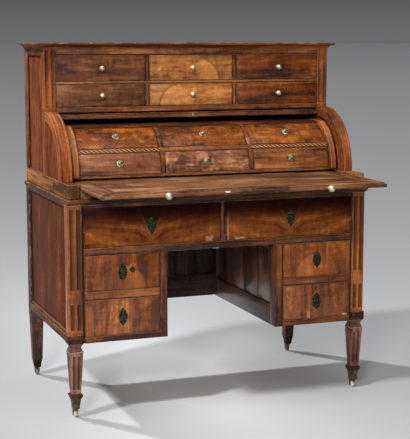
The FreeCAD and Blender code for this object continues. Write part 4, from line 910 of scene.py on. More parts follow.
class Stock:
    """The boards, mouldings and turnings of one piece, gathered into one mesh."""

    def __init__(self, name: str, *coats: Finish) -> None:
        """Starts an empty piece.

        Args:
            name: the piece's name.
            coats: its finishes, which each board picks by number.
        """
        self.name = name
        self.coats = coats
        self.points: list[Vector] = []
        self.faces: list[tuple[int, ...]] = []
        self.cuts: list[Cut] = []
        self.coat_of: list[int] = []
        self.smooth: list[bool] = []

    def add(self, points: Sequence[Vector], faces: Iterable[tuple[int, ...]], cut: Cut, coat: int = 0,
            smooth: bool = False) -> None:
        """Adds one closed shape.

        Args:
            points: its corners.
            faces: its faces, as numbers of the corners.
            cut: how its board was cut.
            coat: which of the piece's finishes it has.
            smooth: whether its faces are shaded as one round.
        """
        start = len(self.points)
        self.points.extend(points)
        for face in faces:
            self.faces.append(tuple(start + index for index in face))
            self.cuts.append(cut)
            self.coat_of.append(coat)
            self.smooth.append(smooth)

    def board(self, across: Span, deep: Span, high: Span, along: Axis, coat: int = 0, edge: float = EDGE,
              tone: float = 0.0, focus: Vector | None = None) -> None:
        """Adds a board with eased edges.

        Args:
            across: where it lies from left to right.
            deep: where it lies from front to back.
            high: where it lies from bottom to top.
            along: the way its grain runs.
            coat: which of the piece's finishes it has.
            edge: how far its edges are eased.
            tone: how much paler than the finish it is.
            focus: the middle of its figure, from its own middle.
        """
        middle, reach = middle_of(across, deep, high), reach_of(across, deep, high)
        ease = min(edge, min(reach) * 0.45)
        stops = [(-r, ease - r, r - ease, r) for r in reach]
        inner = [r - ease for r in reach]
        numbers: dict[tuple[int, int, int], int] = {}
        points: list[Vector] = []

        def corner(key: tuple[int, int, int]) -> int:
            """The number of a corner, pulled in to the eased edge when it is first met."""
            if key not in numbers:
                raw = Vector(stops[axis][key[axis]] for axis in range(3))
                core = Vector(max(-inner[axis], min(inner[axis], raw[axis])) for axis in range(3))
                away = raw - core
                numbers[key] = len(points)
                points.append(middle + (core + away.normalized() * ease if away.length else raw))
            return numbers[key]

        faces = []
        for axis, end, i, j in product(range(3), (0, 3), range(3), range(3)):
            ring = [(i, j), (i + 1, j), (i + 1, j + 1), (i, j + 1)]
            face = []
            for a, b in ring if end else reversed(ring):
                key = [0, 0, 0]
                key[axis], key[(axis + 1) % 3], key[(axis + 2) % 3] = end, a, b
                face.append(corner(tuple(key)))
            faces.append(tuple(face))
        cut = Cut(middle, reach, along, tone, focus or Vector((0.0, 0.0, 0.0)))
        self.add(points, faces, cut, coat)

    def loft(self, rings: Sequence[Sequence[Vector]], cut: Cut, coat: int = 0, smooth: bool = True,
             coats: Sequence[int] | None = None, wrap: bool = False,
             flat: Sequence[int] = ()) -> None:
        """Adds a closed shape through rings of equally many points.

        Args:
            rings: the rings, from one end to the other.
            cut: how its board was cut.
            coat: which of the piece's finishes it has.
            smooth: whether it is shaded as one round.
            coats: a finish for each step of a ring, instead of coat.
            wrap: whether the last ring joins the first, instead of a cap at both ends.
            flat: the lengths between rings that keep coat where coats is given.
        """
        count, rows = len(rings[0]), len(rings)
        points = [point for ring in rings for point in ring]
        faces: list[tuple[int, ...]] = []
        for row in range(rows if wrap else rows - 1):
            base, following = row * count, (row + 1) % rows * count
            for i in range(count):
                j = (i + 1) % count
                faces.append((base + i, base + j, following + j, following + i))
        if not wrap:
            faces.append(tuple(reversed(range(count))))
            faces.append(tuple((rows - 1) * count + i for i in range(count)))
        first = len(self.faces)
        self.add(points, faces, cut, coat, smooth)
        for number in range(len(faces) if coats else 0):
            in_band = number < count * (rows - 1) and number // count not in flat
            self.coat_of[first + number] = coats[number % count] if in_band else coat

    def sweep(self, curl: Curl, across: Span, out: Span, start: tuple[float, float],
              end: tuple[float, float], along: Axis = ACROSS, coat: int = 0, edge: float = EDGE,
              steps: int = 20, tone: float = 0.0, focus: Vector | None = None,
              profile: Profile | None = None) -> None:
        """Adds a board that follows a round.

        Args:
            curl: the round.
            across: where it lies from left to right.
            out: its inner and outer radius.
            start: the angles at which its inner and outer face begin, in radians.
            end: the angles at which they end.
            along: the way its grain runs, where UPRIGHT follows the round.
            coat: which of the piece's finishes it has.
            edge: how far its edges are eased.
            steps: how many steps the round has.
            tone: how much paler than the finish it is.
            focus: the middle of its figure, from its own middle.
            profile: its section as places across and radii, if it isn't a plain eased one.
        """
        (left, right), (inner, outer) = across, out
        section = profile or [
            (left + edge, inner), (right - edge, inner), (right, inner + edge), (right, outer - edge),
            (right - edge * 0.3, outer - edge * 0.3), (right - edge, outer), (left + edge, outer),
            (left + edge * 0.3, outer - edge * 0.3), (left, outer - edge), (left, inner + edge)]
        rings = []
        shares = [0.0] + [i / steps for i in range(steps + 1)] + [1.0]
        for number, share in enumerate(shares):
            ring = []
            for x, radius in section:
                depth = (radius - inner) / (outer - inner)
                first, last = (
                    at_inner + (at_outer - at_inner) * depth for at_inner, at_outer in (start, end))
                angle = first + (last - first) * share
                if number in (0, len(shares) - 1):
                    x = max(left + edge, min(right - edge, x))
                    radius = max(inner + edge, min(outer - edge, radius))
                elif share in (0.0, 1.0):
                    angle += edge / radius * (1 if share == 0.0 else -1)
                ring.append(curl.at(x, radius, angle))
            rings.append(ring)
        low, high = curl.radius * start[1], curl.radius * end[1]
        spans = (across, (inner - curl.radius, outer - curl.radius), (low, high))
        cut = Cut(middle_of(*spans), reach_of(*spans), along, tone, focus or Vector((0.0, 0.0, 0.0)), curl)
        self.loft(rings, cut, coat)

    def slab(self, across: Span, outline: Profile, along: Axis, coat: int = 0,
             edge: float = EDGE, tone: float = 0.0) -> None:
        """Adds a board sawn to an outline of depths and heights, with its two faces eased.

        Args:
            across: where it lies from left to right.
            outline: its depths and heights, in order.
            along: the way its grain runs.
            coat: which of the piece's finishes it has.
            edge: how far its faces are eased.
            tone: how much paler than the finish it is.
        """
        left, right = across
        centre_y = sum(y for y, _ in outline) / len(outline)
        centre_z = sum(z for _, z in outline) / len(outline)
        ease = min(edge, (right - left) * 0.3)

        def ring(x: float, inset: float) -> list[Vector]:
            """The outline at one place across, drawn in by an inset.

            Args:
                x: the place across.
                inset: how far it is drawn in.

            Returns:
                The ring of points.
            """
            points = []
            for y, z in outline:
                away = Vector((y - centre_y, z - centre_z))
                shrunk = away * (1 - inset / max(away.length, ease))
                points.append(Vector((x, centre_y + shrunk.x, centre_z + shrunk.y)))
            return points

        rings = [ring(left, ease), ring(left + ease, 0.0), ring(right - ease, 0.0), ring(right, ease)]
        deep = (min(y for y, _ in outline), max(y for y, _ in outline))
        high = (min(z for _, z in outline), max(z for _, z in outline))
        cut = Cut(middle_of(across, deep, high), reach_of(across, deep, high), along, tone)
        self.loft(rings, cut, coat)

    def turn(self, profile: Profile, seat: Matrix, coat: int = 0, steps: int = 28,
             lobes: int = 0, lobe_depth: float = 0.0) -> None:
        """Adds a turning.

        Args:
            profile: radii and heights along its own axis, from end to end.
            seat: where its axis starts and how it leans.
            coat: which of the piece's finishes it has.
            steps: how many steps a ring has.
            lobes: how many lobes its rim has.
            lobe_depth: how deep they are, as a share of the radius.
        """
        rings = []
        for radius, height in profile:
            ring = []
            for i in range(steps):
                angle = math.tau * i / steps
                wide = radius * (1 - lobe_depth * (0.5 - 0.5 * math.cos(lobes * angle)))
                ring.append(seat @ Vector((wide * math.cos(angle), wide * math.sin(angle), height)))
            rings.append(ring)
        largest = max(radius for radius, _ in profile)
        cut = Cut(seat.translation.copy(), Vector((largest, largest, largest)))
        self.loft(rings, cut, coat)

    def mitred(self, profile: Profile, half: float, front: float, back: float,
               bottom: float, front_share: float = 1.0, coat: int = 0, tone: float = 0.0) -> None:
        """Adds a board with a mitred moulding along its sides and front.

        Args:
            profile: how far out and how high each point of the moulding lies; it starts and ends inside.
            half: half the width that the moulding stands out from.
            front: the front that it stands out from.
            back: where the board ends at the back.
            bottom: the height that the profile counts from.
            front_share: how much further it stands out at the front than at the sides.
            coat: which of the piece's finishes it has.
            tone: how much paler than its finish it is.
        """
        far = max(out for out, _ in profile)
        tall = (bottom, bottom + max(height for _, height in profile))
        inner = -profile[0][0]

        def ring(side: Side, at_back: bool) -> list[Vector]:
            """The profile at the mitre of a side, or where that side ends."""
            return [Vector((side.value * (half + out), back if at_back else front - out * front_share,
                            bottom + height)) for out, height in profile]

        spans = (both(half + far), (front - far * front_share, front + inner * front_share), tall)
        cut = Cut(middle_of(*spans), reach_of(*spans), ACROSS, tone=tone)
        self.loft([ring(Side.LEFT, False), ring(Side.RIGHT, False)], cut, coat)
        for side in Side:
            spans = (side.span(half - inner, half + far), (front - far * front_share, back), tall)
            cut = Cut(middle_of(*spans), reach_of(*spans), DEEP, tone=tone)
            self.loft([ring(side, False), ring(side, True)], cut, coat)
        self.board(both(half - inner), (front + inner * front_share, back), tall, ACROSS, coat, 0.0002)

    def done(self, *nodes: str, slot: str = "") -> None:
        """Makes the mesh and sets it in the frame.

        Args:
            nodes: the nodes that the piece stands for, all on one body.
            slot: not used.
        """
        mesh = bpy.data.meshes.new(self.name)
        mesh.from_pydata(self.points, [], self.faces)
        values: dict[str, list[float]] = {"grain": [], "place": [], "reach": [], "figure": []}
        tones: list[float] = []
        for face, cut in zip(self.faces, self.cuts):
            for index in face:
                place = cut.place(self.points[index])
                values["grain"].extend(cut.grain(place))
                values["place"].extend(place)
                values["reach"].extend(cut.reach)
                values["figure"].extend(place - cut.focus)
                tones.append(cut.tone)
        for label, numbers in values.items():
            mesh.attributes.new(label, "FLOAT_VECTOR", "CORNER").data.foreach_set("vector", numbers)
        mesh.attributes.new("tone", "FLOAT", "CORNER").data.foreach_set("value", tones)
        mesh.polygons.foreach_set("material_index", self.coat_of)
        mesh.polygons.foreach_set("use_smooth", self.smooth)
        shape = bmesh.new()
        shape.from_mesh(mesh)
        bmesh.ops.recalc_face_normals(shape, faces=shape.faces)
        shape.to_mesh(mesh)
        shape.free()
        mesh.set_sharp_from_angle(angle=SHARP_ANGLE)
        for coat in self.coats:
            mesh.materials.append(coat.material())
        piece = bpy.data.objects.new(self.name, mesh)
        bpy.context.scene.collection.objects.link(piece)
        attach(piece, BODY_OF[nodes[0]])
        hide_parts(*nodes)
        log.info("%s stands for %s: %d faces", self.name, ", ".join(nodes), len(self.faces))


def recoat(coat: Finish, *nodes: str) -> None:
    """Gives nodes whose shape is already right a better finish.

    Args:
        coat: the finish.
        nodes: the nodes that get it.
    """
    for name in nodes:
        mesh = frame["nodes"][name].data
        mesh.materials.clear()
        mesh.materials.append(coat.material())
        log.info("%s keeps its shape in %s", name, coat.name)


BODY_OF = {node: body for body, nodes in frame["record"]["behaviour"]["bodies"].items() for node in nodes}


def facing(place: Vector, outward: Vector) -> Matrix:
    """Where a turning sits: its foot at a place, its axis the outward way."""
    return Matrix.Translation(place) @ outward.to_track_quat("Z", "Y").to_matrix().to_4x4()


def low(node: str) -> Vector:
    """The lowest corner of a node's box."""
    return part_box(node)[0]


def high(node: str) -> Vector:
    """The highest corner of a node's box."""
    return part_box(node)[1]


def opening(node: str) -> Span:
    """The floor and ceiling of a drawer's opening."""
    return low(node).z - RUNNING_GAP, high(node).z + GAP


@dataclass(frozen=True)
class Levels:
    """Heights, widths and depths that several sub-assemblies share, read from the frame."""

    front: float
    back: float
    back_face: float
    half: float
    carcass_bottom: float
    waist: float
    plate_top: float
    plinth_top: float
    body_top: float
    upper_half: float
    upper_inner: float
    upper_front: float
    curl: Curl

    @classmethod
    def read(cls) -> "Levels":
        """Reads every shared level from the nodes' boxes."""
        shell = high("cylinder_shell")
        return cls(
            front=low("base_frame").y, back=high("cornice").y, back_face=high("upper_case").y,
            half=high("base_frame").x, carcass_bottom=low("base_frame").z, waist=high("base_frame").z,
            plate_top=high("waist_plate").z, plinth_top=high("plinth").z, body_top=low("cornice").z,
            upper_half=high("upper_frame").x, upper_inner=high("upper_case").x,
            upper_front=low("upper_case").y,
            curl=Curl(shell.y - CURL_RADIUS, shell.z - CURL_RADIUS, CURL_RADIUS))

    def deep(self, start: float, end: float) -> Span:
        """A span of depths counted from the lower posts' faces."""
        return self.front + start, self.front + end


LEVELS = Levels.read()


@dataclass(frozen=True)
class Fluting:
    """Two flutes side by side on a face, with a fillet between them."""

    width: float
    depth: float
    fillet: float
    steps: int = 6

    def stops(self) -> list[tuple[float, float]]:
        """Places across the face, each with how far the face has sunk there.

        Returns:
            The places and depths, from left to right.
        """
        middle = (self.fillet + self.width) / 2
        places = []
        for centre in (-middle, middle):
            for step in range(self.steps + 1):
                share = 2 * step / self.steps - 1
                places.append((centre + share * self.width / 2, self.depth * (1 - share * share)))
        return places


@dataclass(frozen=True)
class Section:
    """The eased rectangular section of an upright timber, fluted on some of its faces.

    The faces are numbered from the front round to the right: 0 front, 1 right, 2 back, 3 left.
    """

    x: float
    y: float
    fluting: Fluting | None = None
    fluted: tuple[int, ...] = ()
    ease: float = 0.0015

    def ring(self, half: Span, height: float, sunk: float = 0.0) -> list[Vector]:
        """The section at one height.

        Args:
            half: half its width and half its depth.
            height: where it lies.
            sunk: the share of their depth that the flutes have there.

        Returns:
            The ring of points, from the front's left corner round to the right.
        """
        points = []
        for number, (nx, ny) in enumerate(((0, -1), (1, 0), (0, 1), (-1, 0))):
            out, wide = (half[1], half[0]) if nx == 0 else (half[0], half[1])
            stops = [(self.ease - wide, 0.0), *self._stops(number), (wide - self.ease, 0.0)]
            corner = self.ease * (1 - math.sqrt(0.5))
            places = [(across, out - depth * sunk) for across, depth in stops]
            places.append((wide - corner, out - corner))
            points += [Vector((self.x + nx * face - ny * across, self.y + ny * face + nx * across, height))
                       for across, face in places]
        return points

    def _stops(self, number: int) -> list[tuple[float, float]]:
        """The flute stops of one face, none if it is plain."""
        return self.fluting.stops() if self.fluting and number in self.fluted else []

    def coats(self, plain: int, hollow: int) -> list[int]:
        """The finish of each step of the ring, one for the faces and one for the flutes' hollows.

        Args:
            plain: the finish of the faces.
            hollow: the finish of the hollows.

        Returns:
            The finishes, in the order of the ring's points.
        """
        found = []
        for number in range(4):
            depths = [0.0, *(depth for _, depth in self._stops(number)), 0.0, 0.0]
            found += [hollow if a + b > 0 else plain for a, b in zip(depths, depths[1:])]
            found.append(plain)
        return found

    def stopped(self, levels: Sequence[tuple[float, Span]], ends: Span) -> list[list[Vector]]:
        """Rings up a timber whose flutes are stopped before both ends.

        Args:
            levels: the bottom and top, each with its height and half sizes.
            ends: how far from the bottom and from the top the flutes stop.

        Returns:
            The rings from bottom to top.
        """
        (bottom, foot), (top, head) = levels
        stop = self.fluting.width / 2
        rises = [(share * stop, math.sqrt(1 - (1 - share) ** 2)) for share in (0.0, 0.15, 0.4, 0.7, 1.0)]
        marks = [(bottom, 0.0), *((bottom + ends[0] + run, sunk) for run, sunk in rises)]
        marks += [*((top - ends[1] - run, sunk) for run, sunk in reversed(rises)), (top, 0.0)]
        rings = []
        for height, sunk in marks:
            share = (height - bottom) / (top - bottom)
            half = (foot[0] + (head[0] - foot[0]) * share, foot[1] + (head[1] - foot[1]) * share)
            rings.append(self.ring(half, height, sunk))
        return rings

    @staticmethod
    def flat(rings: Sequence[Sequence[Vector]], run: int = 11) -> list[int]:
        """The plain lengths at both ends of each run of flutes, where a run has so many lengths."""
        return [row for row in range(len(rings) - 1) if row % run in (0, run - 1)]

    def cut(self, half: Span, bottom: float, top: float, tone: float = 0.0) -> Cut:
        """How the timber was cut, with its grain upright."""
        return Cut(Vector((self.x, self.y, (bottom + top) / 2)),
                   Vector((half[0], half[1], (top - bottom) / 2)), UPRIGHT, tone)


@dataclass(frozen=True)
class CornerPosts:
    """The four corner posts: fluted front ones with collar, neck and block, and plain rear ones."""

    post: float = 0.046
    collar: float = 0.042
    collar_height: float = 0.015
    leg_height: float = 0.142
    leg_foot: float = 0.031
    neck_flare: float = 0.014
    neck: float = 0.035
    block_height: float = 0.031
    block_overhang: float = 0.004
    rear_foot: float = 0.034
    rear_sabot: float = 0.030
    end: float = 0.014
    square: float = 0.010
    leg_fluting: Fluting = Fluting(0.009, 0.0025, 0.007)
    post_fluting: Fluting = Fluting(0.013, 0.0035, 0.009)

    def centre(self, side: Side, front: bool) -> tuple[float, float]:
        """The centre line of a leg."""
        y = LEVELS.front + self.post / 2 if front else LEVELS.back - self.post / 2
        return side.value * (LEVELS.half - self.post / 2), y

    def build(self) -> None:
        """Makes the four posts as one piece."""
        stock = Stock("Corner_posts", POSTS, LEGS, MOULDING, SHADED_FLUTE_WOOD, SHADED_LEG_FLUTE_WOOD)
        for side in Side:
            self._front(stock, side)
            self._rear(stock, side)
        stock.done("corner_posts")

    def _front(self, stock: Stock, side: Side) -> None:
        """Adds a front post from its collar up to the waist.

        Args:
            stock: the piece that it goes into.
            side: the half of the desk that it stands in.
        """
        x, y = self.centre(side, True)
        outer = 1 if side is Side.RIGHT else 3
        foot = high("sabots").z
        leg_bottom = foot + self.collar_height
        leg_top = leg_bottom + self.leg_height
        wide = self.post / 2
        collar = Section(x, y, ease=0.002)
        rings = [(0.0, 0.80), (0.06, 0.88), (0.3, 0.93), (0.55, 1.0), (0.75, 1.0), (0.8, 0.9), (1.0, 0.84)]
        stock.loft([collar.ring((self.collar / 2 * k, self.collar / 2 * k), foot + self.collar_height * h)
                    for h, k in rings], collar.cut((self.collar / 2,) * 2, foot, leg_bottom), 2)
        leg = Section(x, y, self.leg_fluting, (0, outer))
        low_half, high_half = (self.leg_foot / 2,) * 2, (wide,) * 2
        rings = leg.stopped([(leg_bottom, low_half), (leg_top, high_half)], (self.end, self.end))
        self._loft(stock, leg, rings, leg.cut(high_half, leg_bottom, leg_top), 1, 4)
        neck = Section(x, y)
        waist_half = (self.neck / 2,) * 2
        notch = leg_top + self.neck_flare
        rings = [neck.ring(high_half, leg_top), neck.ring(waist_half, notch - 0.001),
                 neck.ring(waist_half, notch + 0.001), neck.ring(high_half, LEVELS.carcass_bottom)]
        stock.loft(rings, neck.cut(high_half, leg_top, LEVELS.carcass_bottom), 1)
        block_top = LEVELS.carcass_bottom + self.block_height
        across = side.span(LEVELS.half - self.post, LEVELS.half + self.block_overhang)
        stock.board(across, LEVELS.deep(-self.block_overhang, self.post), (LEVELS.carcass_bottom, block_top),
                    ACROSS, 2, 0.0018)
        shaft = Section(x, y, self.post_fluting, (0,))
        rail = (high("pedestal_drawer_right_lower").z, low("pedestal_drawer_right_upper").z)
        middle = (rail[0] + rail[1]) / 2
        square = (rail[1] - rail[0]) / 2 + self.square
        rings = shaft.stopped([(block_top, high_half), (middle, high_half)], (self.end, square))
        rings += shaft.stopped([(middle, high_half), (LEVELS.waist, high_half)], (square, self.end))[1:]
        self._loft(stock, shaft, rings, shaft.cut(high_half, block_top, LEVELS.waist), 0, 3)

    @staticmethod
    def _loft(stock: Stock, section: Section, rings: list[list[Vector]], cut: Cut, plain: int,
              hollow: int) -> None:
        """Adds a fluted length whose hollows have a darker finish, as painted shade in the flutes.

        Args:
            stock: the piece that it goes into.
            section: the section of the timber.
            rings: its rings from bottom to top.
            cut: how it was cut.
            plain: the finish of its faces.
            hollow: the finish of its hollows.
        """
        stock.loft(rings, cut, plain, coats=section.coats(plain, hollow), flat=section.flat(rings))

    def _rear(self, stock: Stock, side: Side) -> None:
        """Adds a plain rear post with its tapered leg.

        Args:
            stock: the piece that it goes into.
            side: the half of the desk that it stands in.
        """
        x, y = self.centre(side, False)
        section = Section(x, y)
        foot, head = (self.rear_foot / 2,) * 2, (self.post / 2,) * 2
        bottom = low("sabots").z + self.rear_sabot
        rings = [section.ring(foot, bottom), section.ring(head, LEVELS.carcass_bottom),
                 section.ring(head, LEVELS.waist)]
        # The rear posts are a darker tone than the front ones: painted shade.
        stock.loft(rings, section.cut(head, bottom, LEVELS.waist, -0.4), 1)


@dataclass(frozen=True)
class Sabots:
    """The tapered brass shoes round the feet."""

    posts: CornerPosts
    foot: float = 0.012
    head: float = 0.0165
    profile: Profile = (
        (0, -0.0012), (0.04, 0), (0.12, 0), (0.16, -0.0008), (0.8, -0.0008), (0.84, 0), (0.97, 0),
        (1, -0.0012))

    def build(self) -> None:
        """Makes the four shoes as one piece."""
        stock = Stock("Sabots", SABOT_BRASS, SHADED_REAR_BRASS)
        bottom = low("sabots").z
        for side, front in product(Side, (True, False)):
            top = high("sabots").z if front else bottom + self.posts.rear_sabot
            section = Section(*self.posts.centre(side, front), ease=0.002)
            rings = []
            for share, lip in self.profile:
                half = self.foot + (self.head - self.foot) * share + lip
                rings.append(section.ring((half, half), bottom + (top - bottom) * share))
            # The rear shoes take the darker brass as painted shade.
            stock.loft(rings, section.cut((self.head, self.head), bottom, top), 0 if front else 1)
        stock.done("sabots")


@dataclass(frozen=True)
class Castors:
    """The swivelling brass forks and the earthenware wheels in them."""

    posts: CornerPosts
    trail: float = 0.006
    wheel_radius: float = 0.0115
    wheel_width: float = 0.011
    gap: float = 0.0003
    cheek: float = 0.003
    cheek_width: float = 0.013
    crown: float = 0.004
    axle: float = 0.002
    eye: float = 0.0042
    eye_steps: int = 24

    def build(self) -> None:
        """Makes a fork and a wheel under each leg."""
        for side, front in product(Side, (True, False)):
            corner = f"{'front' if front else 'rear'}_{side.word}"
            x, y = self.posts.centre(side, front)
            self._fork(corner, x, y)
            self._wheel(corner, x, y + self.trail)

    def _fork(self, corner: str, x: float, y: float) -> None:
        """Makes one fork: stem, crown, two shaped cheeks and the riveted axle.

        Args:
            corner: the corner that it stands under.
            x: its stem's place across.
            y: its stem's depth.
        """
        stock = Stock(f"Castor_fork_{corner}", CASTOR_BRASS)
        node = f"castor_fork_{corner}"
        top = low("sabots").z - self.gap
        bottom = top - self.crown
        upright = facing(Vector((x, y, bottom)), Vector((0, 0, 1)))
        reach = high(node).z - bottom
        stock.turn([(0.004, 0.0), (0.0088, 0.0), (0.01, 0.0012), (0.01, 0.0032), (0.009, self.crown),
                    (0.004, self.crown), (0.004, reach)], upright)
        axle_y = y + self.trail
        near = self.wheel_width / 2 + self.gap
        far = near + self.cheek
        wide = self.cheek_width / 2
        stock.board(around(x, far), around(axle_y, wide), (bottom, top), ACROSS, edge=0.0012)
        for way in (-1, 1):
            across = (x + near, x + far) if way > 0 else (x - far, x - near)
            outline = [(axle_y + wide, bottom + 0.001), (axle_y - wide, bottom + 0.001),
                       (axle_y - wide * 0.86, bottom - 0.004)]
            turns = (math.tau * i / self.eye_steps for i in range(1, self.eye_steps // 2))
            outline += [(axle_y - self.eye * math.cos(turn), self.wheel_radius - self.eye * math.sin(turn))
                        for turn in turns]
            outline.append((axle_y + wide * 0.86, bottom - 0.004))
            stock.slab(across, outline, UPRIGHT, edge=0.0007)
            head = facing(Vector((x + way * near, axle_y, self.wheel_radius)), Vector((way, 0, 0)))
            stock.turn([(self.axle, 0.0), (self.axle, self.cheek - 0.0004), (self.axle * 0.6, self.cheek)],
                       head, steps=16)
        pin = facing(Vector((x - near, axle_y, self.wheel_radius)), Vector((1, 0, 0)))
        stock.turn([(self.axle, 0.0), (self.axle, 2 * near)], pin, steps=16)
        stock.done(node)

    def _wheel(self, corner: str, x: float, y: float) -> None:
        """Makes one turned wheel with a crowned tread and a raised boss.

        Args:
            corner: the corner that it stands under.
            x: its middle across.
            y: its axle's depth.
        """
        # The rear wheels take the darker ware as painted shade.
        stock = Stock(f"Castor_wheel_{corner}", WARE if "front" in corner else SHADED_WARE)
        half, radius = self.wheel_width / 2, self.wheel_radius
        boss = self.axle + 0.0022
        profile = [
            (self.axle + 0.0002, -half), (boss, -half), (boss + 0.0006, -half + 0.0012),
            (radius - 0.0032, -half + 0.0016), (radius - 0.0014, -half + 0.0006),
            (radius - 0.0004, -half + 0.0018), (radius, -half + 0.0036)]
        profile += [(r, -h) for r, h in reversed(profile)]
        seat = facing(Vector((x, y, radius)), Vector((1, 0, 0)))
        stock.turn(profile, seat, steps=40)
        stock.done(f"castor_wheel_{corner}")


@dataclass(frozen=True)
class LowerCarcass:
    """Rails, stiles and dividers of the lower carcass, and the boards that its drawers run on."""

    post: float = 0.046
    rail: float = 0.024
    side_rail: float = 0.024
    stile: float = 0.026
    stile_depth: float = 0.050
    shadow_setback: float = 0.003
    divider: float = 0.006
    side_bottom: float = 0.031
    side_top: float = 0.008
    ledge: float = 0.007
    ledge_inset: float = 0.0035
    knee_bottom: float = 0.068
    knee_top: float = 0.026
    back: float = 0.016
    back_bottom: float = 0.083
    back_top: float = 0.060
    back_stile: float = 0.036
    dust: float = 0.008
    guide: float = 0.012

    @property
    def outer(self) -> float:
        """Where the drawer openings end towards the posts."""
        return high("pedestal_drawer_right_upper").x + GAP

    @property
    def inner(self) -> float:
        """Where the pedestals' openings end towards the kneehole."""
        return low("pedestal_drawer_right_upper").x - GAP

    @property
    def post_inner(self) -> float:
        """The inner face of the posts."""
        return LEVELS.half - self.post

    def build(self) -> None:
        """Makes the frame and the boards inside it."""
        lower = opening("pedestal_drawer_right_lower")
        upper = opening("pedestal_drawer_right_upper")
        frieze = opening("frieze_drawer_right")
        bottom, waist = LEVELS.carcass_bottom, LEVELS.waist
        stock = Stock("Base_frame", CARCASS, MOULDING, KNEEHOLE, BACKING, BEAD)
        front = LEVELS.deep(0, self.rail)
        stock.board(both(self.outer), front, (upper[1], frieze[0]), ACROSS, tone=-0.22)
        stock.board(both(self.outer), front, (frieze[1], waist), ACROSS, tone=-0.2)
        stock.board(both(self.divider), front, frieze, UPRIGHT, tone=-0.05)
        stock.board(both(self.divider), (front[1], LEVELS.back_face), frieze, DEEP, 3)
        back = onward(LEVELS.back_face, self.back)
        between = (bottom + self.back_bottom, waist - self.back_top)
        stock.board(both(self.post_inner), back, (bottom, between[0]), ACROSS, 3)
        stock.board(both(self.post_inner), back, (between[1], waist), ACROSS, 3)
        stock.board(both(self.back_stile), back, between, UPRIGHT, 3)
        for side in Side:
            self._pedestal(stock, side, lower, upper)
            stock.board(
                side.span(self.post_inner - self.back_stile, self.post_inner), back, between, UPRIGHT, 3)
        stock.done("base_frame")
        self._dust_boards(lower, upper, frieze)

    def _pedestal(self, stock: Stock, side: Side, lower: Span, upper: Span) -> None:
        """Adds the frame of one pedestal.

        Args:
            stock: the piece that it goes into.
            side: the half of the desk that it stands in.
            lower: the lower drawer's opening.
            upper: the upper drawer's opening.
        """
        bottom, waist, top = LEVELS.carcass_bottom, LEVELS.waist, upper[1]
        front = LEVELS.deep(0, self.rail)
        rail = side.span(self.inner, self.outer)
        stile = side.span(self.inner - self.stile, self.inner)
        stock.board(rail, front, (bottom, lower[0]), ACROSS)
        stock.board(rail, front, (lower[1], upper[0]), ACROSS, tone=0.03)
        stock.board(stile, LEVELS.deep(0, self.stile_depth), (bottom, top), UPRIGHT, tone=-0.03)
        stock.board(side.span(self.outer, self.post_inner), LEVELS.deep(self.shadow_setback, self.rail),
                    (bottom, waist), UPRIGHT, 4, tone=-0.25)
        rear = LEVELS.back - self.post
        between = (LEVELS.front + self.post, rear)
        face = side.span(LEVELS.half - self.side_rail, LEVELS.half)
        rail_top = bottom + self.side_bottom
        stock.board(face, between, (bottom, rail_top - self.ledge), DEEP, 1)
        ledge = side.span(LEVELS.half - self.side_rail, LEVELS.half - self.ledge_inset)
        stock.board(ledge, between, upto(rail_top, self.ledge), DEEP, 1, 0.0022)
        stock.board(face, between, upto(waist, self.side_top), DEEP, 1)
        knee = (LEVELS.front + self.stile_depth, rear)
        stock.board(stile, knee, onward(bottom, self.knee_bottom), DEEP, 2)
        stock.board(stile, knee, upto(top, self.knee_top), DEEP, 2)
        stock.board(stile, (rear, LEVELS.back_face), (bottom, top), UPRIGHT, 2)

    def _dust_boards(self, lower: Span, upper: Span, frieze: Span) -> None:
        """Makes the boards and guides that the lower drawers run on.

        Args:
            lower: the lower pedestal drawers' opening.
            upper: the upper pedestal drawers' opening.
            frieze: the frieze drawers' opening.
        """
        stock = Stock("Dust_boards", OAK)
        deep = (LEVELS.front + self.rail, LEVELS.back_face)
        stock.board(both(self.post_inner), deep, upto(frieze[0], self.dust), ACROSS)
        for side in Side:
            for floor, _ in (lower, upper):
                stock.board(side.span(self.inner, self.post_inner), deep, upto(floor, self.dust), ACROSS)
            for floor, _ in (lower, upper, frieze):
                stock.board(side.span(self.outer, self.post_inner), deep, onward(floor, self.guide), DEEP)
        stock.done("dust_boards")


